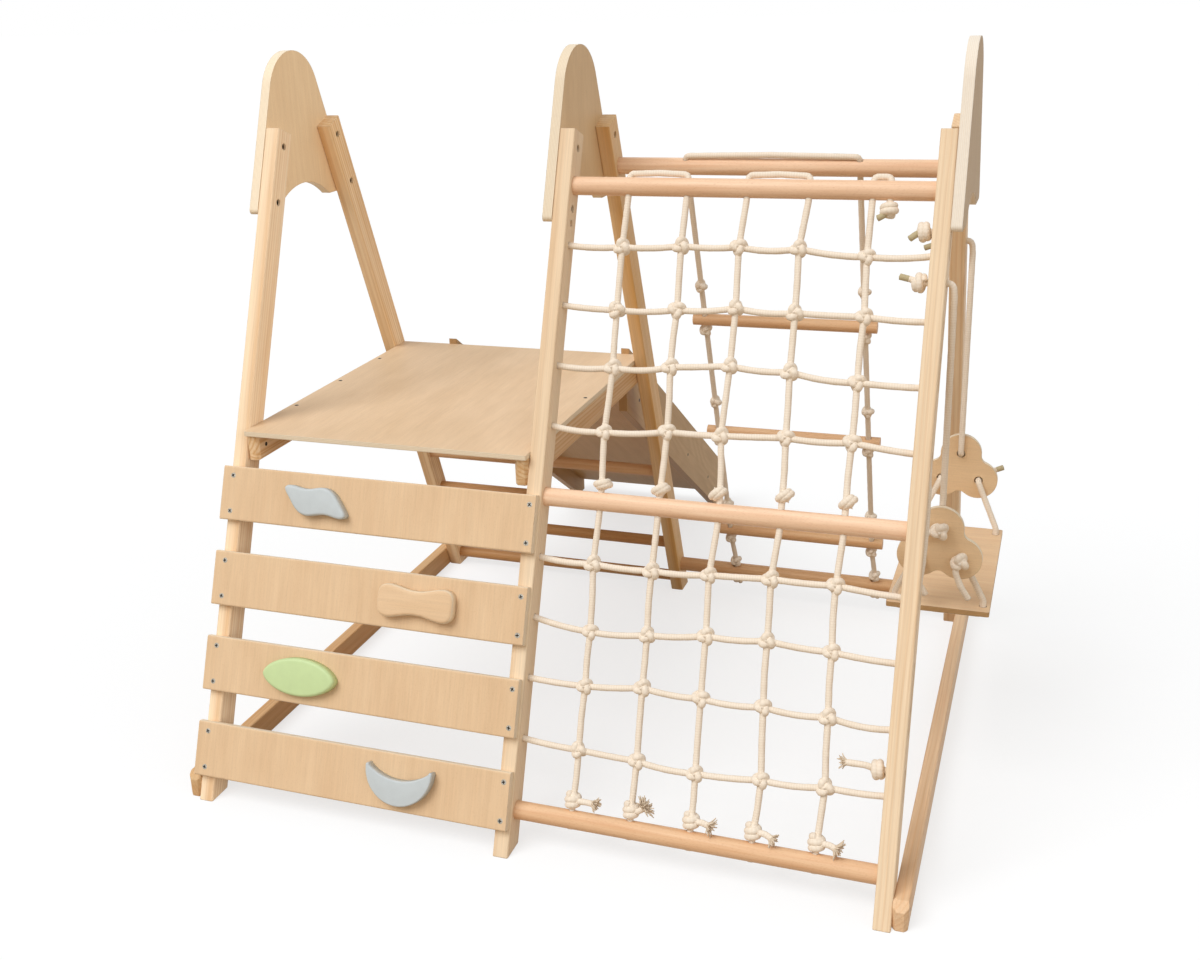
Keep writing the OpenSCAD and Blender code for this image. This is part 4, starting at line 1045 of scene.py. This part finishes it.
def screw_places(node):
    """Where the heads of a node's screws are and which way they face, from its own solids."""
    bm = bmesh.new()
    bm.from_mesh(nodes[node].data)
    bmesh.ops.remove_doubles(bm, verts=bm.verts, dist=1e-6)
    left, places = set(bm.verts), []
    while left:
        group, todo = set(), [min(left, key=lambda v: v.index)]
        while todo:
            v = todo.pop()
            if v not in group:
                group.add(v)
                todo += [e.other_vert(v) for e in v.link_edges]
        left -= group
        co = np.array([v.co for v in group])
        middle = co.mean(0)
        axis = np.linalg.svd(co - middle, full_matrices=False)[2][0]
        runs = (co - middle) @ axis
        off = np.linalg.norm(co - middle - np.outer(runs, axis), axis=1)
        if runs[off.argmax()] < 0:
            axis, runs = -axis, -runs
        top = co[runs > runs.max() - 1e-5]
        places.append((Vector(top.mean(0)), Vector(axis), float(runs.max() - runs.min())))
    bm.free()
    return places


# Radius of a screw's head, width of its rim and how far it stands above the CAD head's top, in metres
HEADS = {
    "flush": (0.004, 0.00025, 0.0),
    "crowned": (0.0049, 0.0008, 0.0009),
    # The cap heads stand high in their deep bores, in dark steel, as painted shade in the bores.
    "cap": (0.0056, 0.0004, 0.0055),
}
KINDS = {"cap_screws": "cap", "rail_screws": "flush", "deck_screws": "flush", "slide_screws": "flush"}
# The recess: length and half width of its arms, its depth and its taper
ARM, ARM_HALF, RECESS, TAPER = 0.0032, 0.00095, 0.002, 0.75
SHANK_R, SHANK_TOP, HEAD_LOW, HEAD_SIDES = 0.002, 0.004, 0.0001, 24


def screw_mesh(gathered, at, axis, length, turn, kind):
    """A head with a cross recess, on its shank."""
    points, faces, recess = gathered
    aside = axis.cross(Vector((0.31, 0.52, 0.79))).normalized()
    third = axis.cross(aside)
    head_r, rim, crown = HEADS[kind]

    def place(x, y, z):
        points.append(at + aside * x + third * y + axis * z)
        return len(points) - 1

    def ring(r, z):
        return [place(x, y, z) for x, y in arc(0, 0, r, 0, tau, HEAD_SIDES + 1)[:-1]]

    cross = []
    for k in range(4):
        a = turn + pi / 2 * k
        for x, y in ((ARM, -ARM_HALF), (ARM, ARM_HALF), (ARM_HALF, ARM_HALF)):
            cross.append((x * cos(a) - y * sin(a), x * sin(a) + y * cos(a)))
    count = len(cross)
    angles = [atan2(y, x) for x, y in cross]

    def nearest(j):
        a = tau * (j + 0.5) / HEAD_SIDES
        return min(range(count), key=lambda c: abs(remainder(angles[c] - a, tau)))

    edge = [place(x, y, crown) for x, y in cross]
    floor = [place(x * TAPER, y * TAPER, crown - RECESS) for x, y in cross]
    rings = [ring(head_r - rim, crown), ring(head_r, crown - rim)]
    rings += [ring(head_r, HEAD_LOW)] if crown else []
    rings += [ring(SHANK_R, -SHANK_TOP), ring(SHANK_R, -length)]
    sides = [(j, (j + 1) % HEAD_SIDES) for j in range(HEAD_SIDES)]
    for j, j2 in sides:
        step, after = nearest(j), nearest(j + 1)
        faces.append((rings[0][j], rings[0][j2], edge[step]))
        while step != after:
            faces.append((rings[0][j2], edge[(step + 1) % count], edge[step]))
            step = (step + 1) % count
    recess += range(len(faces), len(faces) + count + 1)
    for c in range(count):
        c2 = (c + 1) % count
        faces.append((edge[c], edge[c2], floor[c2], floor[c]))
    faces.append(tuple(floor))
    for one, two in zip(rings, rings[1:]):
        faces += [(one[j2], one[j], two[j], two[j2]) for j, j2 in sides]
    faces.append(tuple(rings[-1][::-1]))


def screws():
    zinc = plated("screw_zinc", (146, 140, 128), (212, 206, 194))
    # Dark steel: painted shade where it stands in the bores over the cap screws and in the cross recesses;
    # the flush heads are dark too.
    dark = plated("screw_dark_shade", (48, 41, 34), (78, 69, 58))
    for node in sorted(n for n in nodes if n.endswith("_screws")):
        kind = KINDS.get(node, "crowned")
        material = zinc if kind == "crowned" else dark
        gathered = ([], [], [])
        for at, axis, length in screw_places(node):
            screw_mesh(gathered, at, axis, length, rng.uniform(0, pi / 2), kind)
        points, faces, recess = gathered
        obj = mesh_object(node + "_cross_head", points, faces, smooth=False)
        finish_piece(obj, material, [node])
        # The cross recesses take the dark steel as painted shade in them.
        obj.data.materials.append(dark)
        for face in recess:
            obj.data.polygons[face].material_index = 1


# Studio

# The surroundings as they light the model and as they are seen: colour and strength
WORLD = (((1.0, 0.965, 0.92), 0.44), ((1, 1, 1), 1.0))
# Lamps: where each shines from, its strength, its spread in degrees, and the nodes it skips or keeps to
SKIPPED = ("cap_right", "slide_wall_left", "slide_wall_right", "slide_bed")
LEFT_BAY = ("leg_left_front", "leg_left_rear", "cap_left", "deck_rail_left")
LAMPS = {
    "key": ((-0.24, -0.36, 0.54), 1.95, 38),
    "fill": ((0.8, -0.5, 0.45), 0.45, 60, "EXCLUDE", SKIPPED),
    "left_bay": ((0.85, -0.4, 0.35), 0.95, 60, "INCLUDE", LEFT_BAY),
}
# The floor in metres, its colours as it lights the model and as it is seen, and its glow
FLOOR_REACH, FLOOR_Z = 40.0, -0.0004
FLOOR_BOUNCE, FLOOR_SEEN = (0.46, 0.35, 0.23), (0.94, 0.97, 1.0)
GLOW_STRENGTH, GLOW_SHARE = 1.05, 0.66


def studio():
    scene = bpy.context.scene
    scene.view_settings.view_transform = "Standard"
    g = Graph("studio", bpy.data.worlds)
    scene.world = g.owner
    g.tree.nodes.clear()
    mix, out = g.add("MixShader"), g.add("OutputWorld")
    g.put(mix.inputs[0], seen_share(g))
    for k, (colour, strength) in enumerate(WORLD, 1):
        light = g.add("Background")
        g.put(light.inputs["Color"], colour)
        g.put(light.inputs["Strength"], strength)
        g.put(mix.inputs[k], light.outputs[0])
    g.put(out.inputs["Surface"], mix.outputs[0])
    for name, lamp in LAMPS.items():
        soft_sun(name, *lamp)
    floor()


def seen_share(g):
    """1 for what the camera sees, also in a mirror or through glass."""
    path = g.add("LightPath").outputs
    mirrored = g.math("MAXIMUM", path["Is Camera Ray"], path["Is Glossy Ray"])
    return g.math("MAXIMUM", mirrored, path["Is Transmission Ray"])


def soft_sun(name, origin, strength, spread, link="INCLUDE", chosen=()):
    """An even light from one side, with the soft edge of a large studio lamp."""
    data = bpy.data.lights.new(name, "SUN")
    data.energy, data.angle = strength, radians(spread)
    obj = new_object(name, data)
    obj.rotation_mode = "QUATERNION"
    obj.rotation_quaternion = (-Vector(origin)).to_track_quat("-Z", "Y")
    if chosen:
        obj.light_linking.receiver_collection = group = bpy.data.collections.new(name + "_nodes")
        for node in chosen:
            group.objects.link(nodes[node])
        for entry in group.collection_objects:
            entry.light_linking.link_state = link


def floor():
    corners = [(x * FLOOR_REACH, y * FLOOR_REACH, FLOOR_Z) for x, y in ((-1, -1), (1, -1), (1, 1), (-1, 1))]
    obj = mesh_object("floor", corners, [(0, 1, 2, 3)], smooth=False)
    g = Graph("studio_floor")
    seen = seen_share(g)
    g.finish(g.mix(seen, FLOOR_BOUNCE, FLOOR_SEEN), 0.9, 0.0)
    glow, mix = g.add("Emission"), g.add("MixShader")
    g.put(glow.inputs["Color"], (1, 1, 1))
    g.put(glow.inputs["Strength"], GLOW_STRENGTH)
    g.put(mix.inputs[0], g.times(seen, GLOW_SHARE))
    g.put(mix.inputs[1], g.shader.outputs[0])
    g.put(mix.inputs[2], glow.outputs[0])
    g.put(g.tree.nodes["Material Output"].inputs["Surface"], mix.outputs[0])
    obj.data.materials.append(g.owner)


make_camera()
dress_wood()
cross_rope()
upright_ropes()
ladder()
swing_ropes()
holds()
screws()
studio()
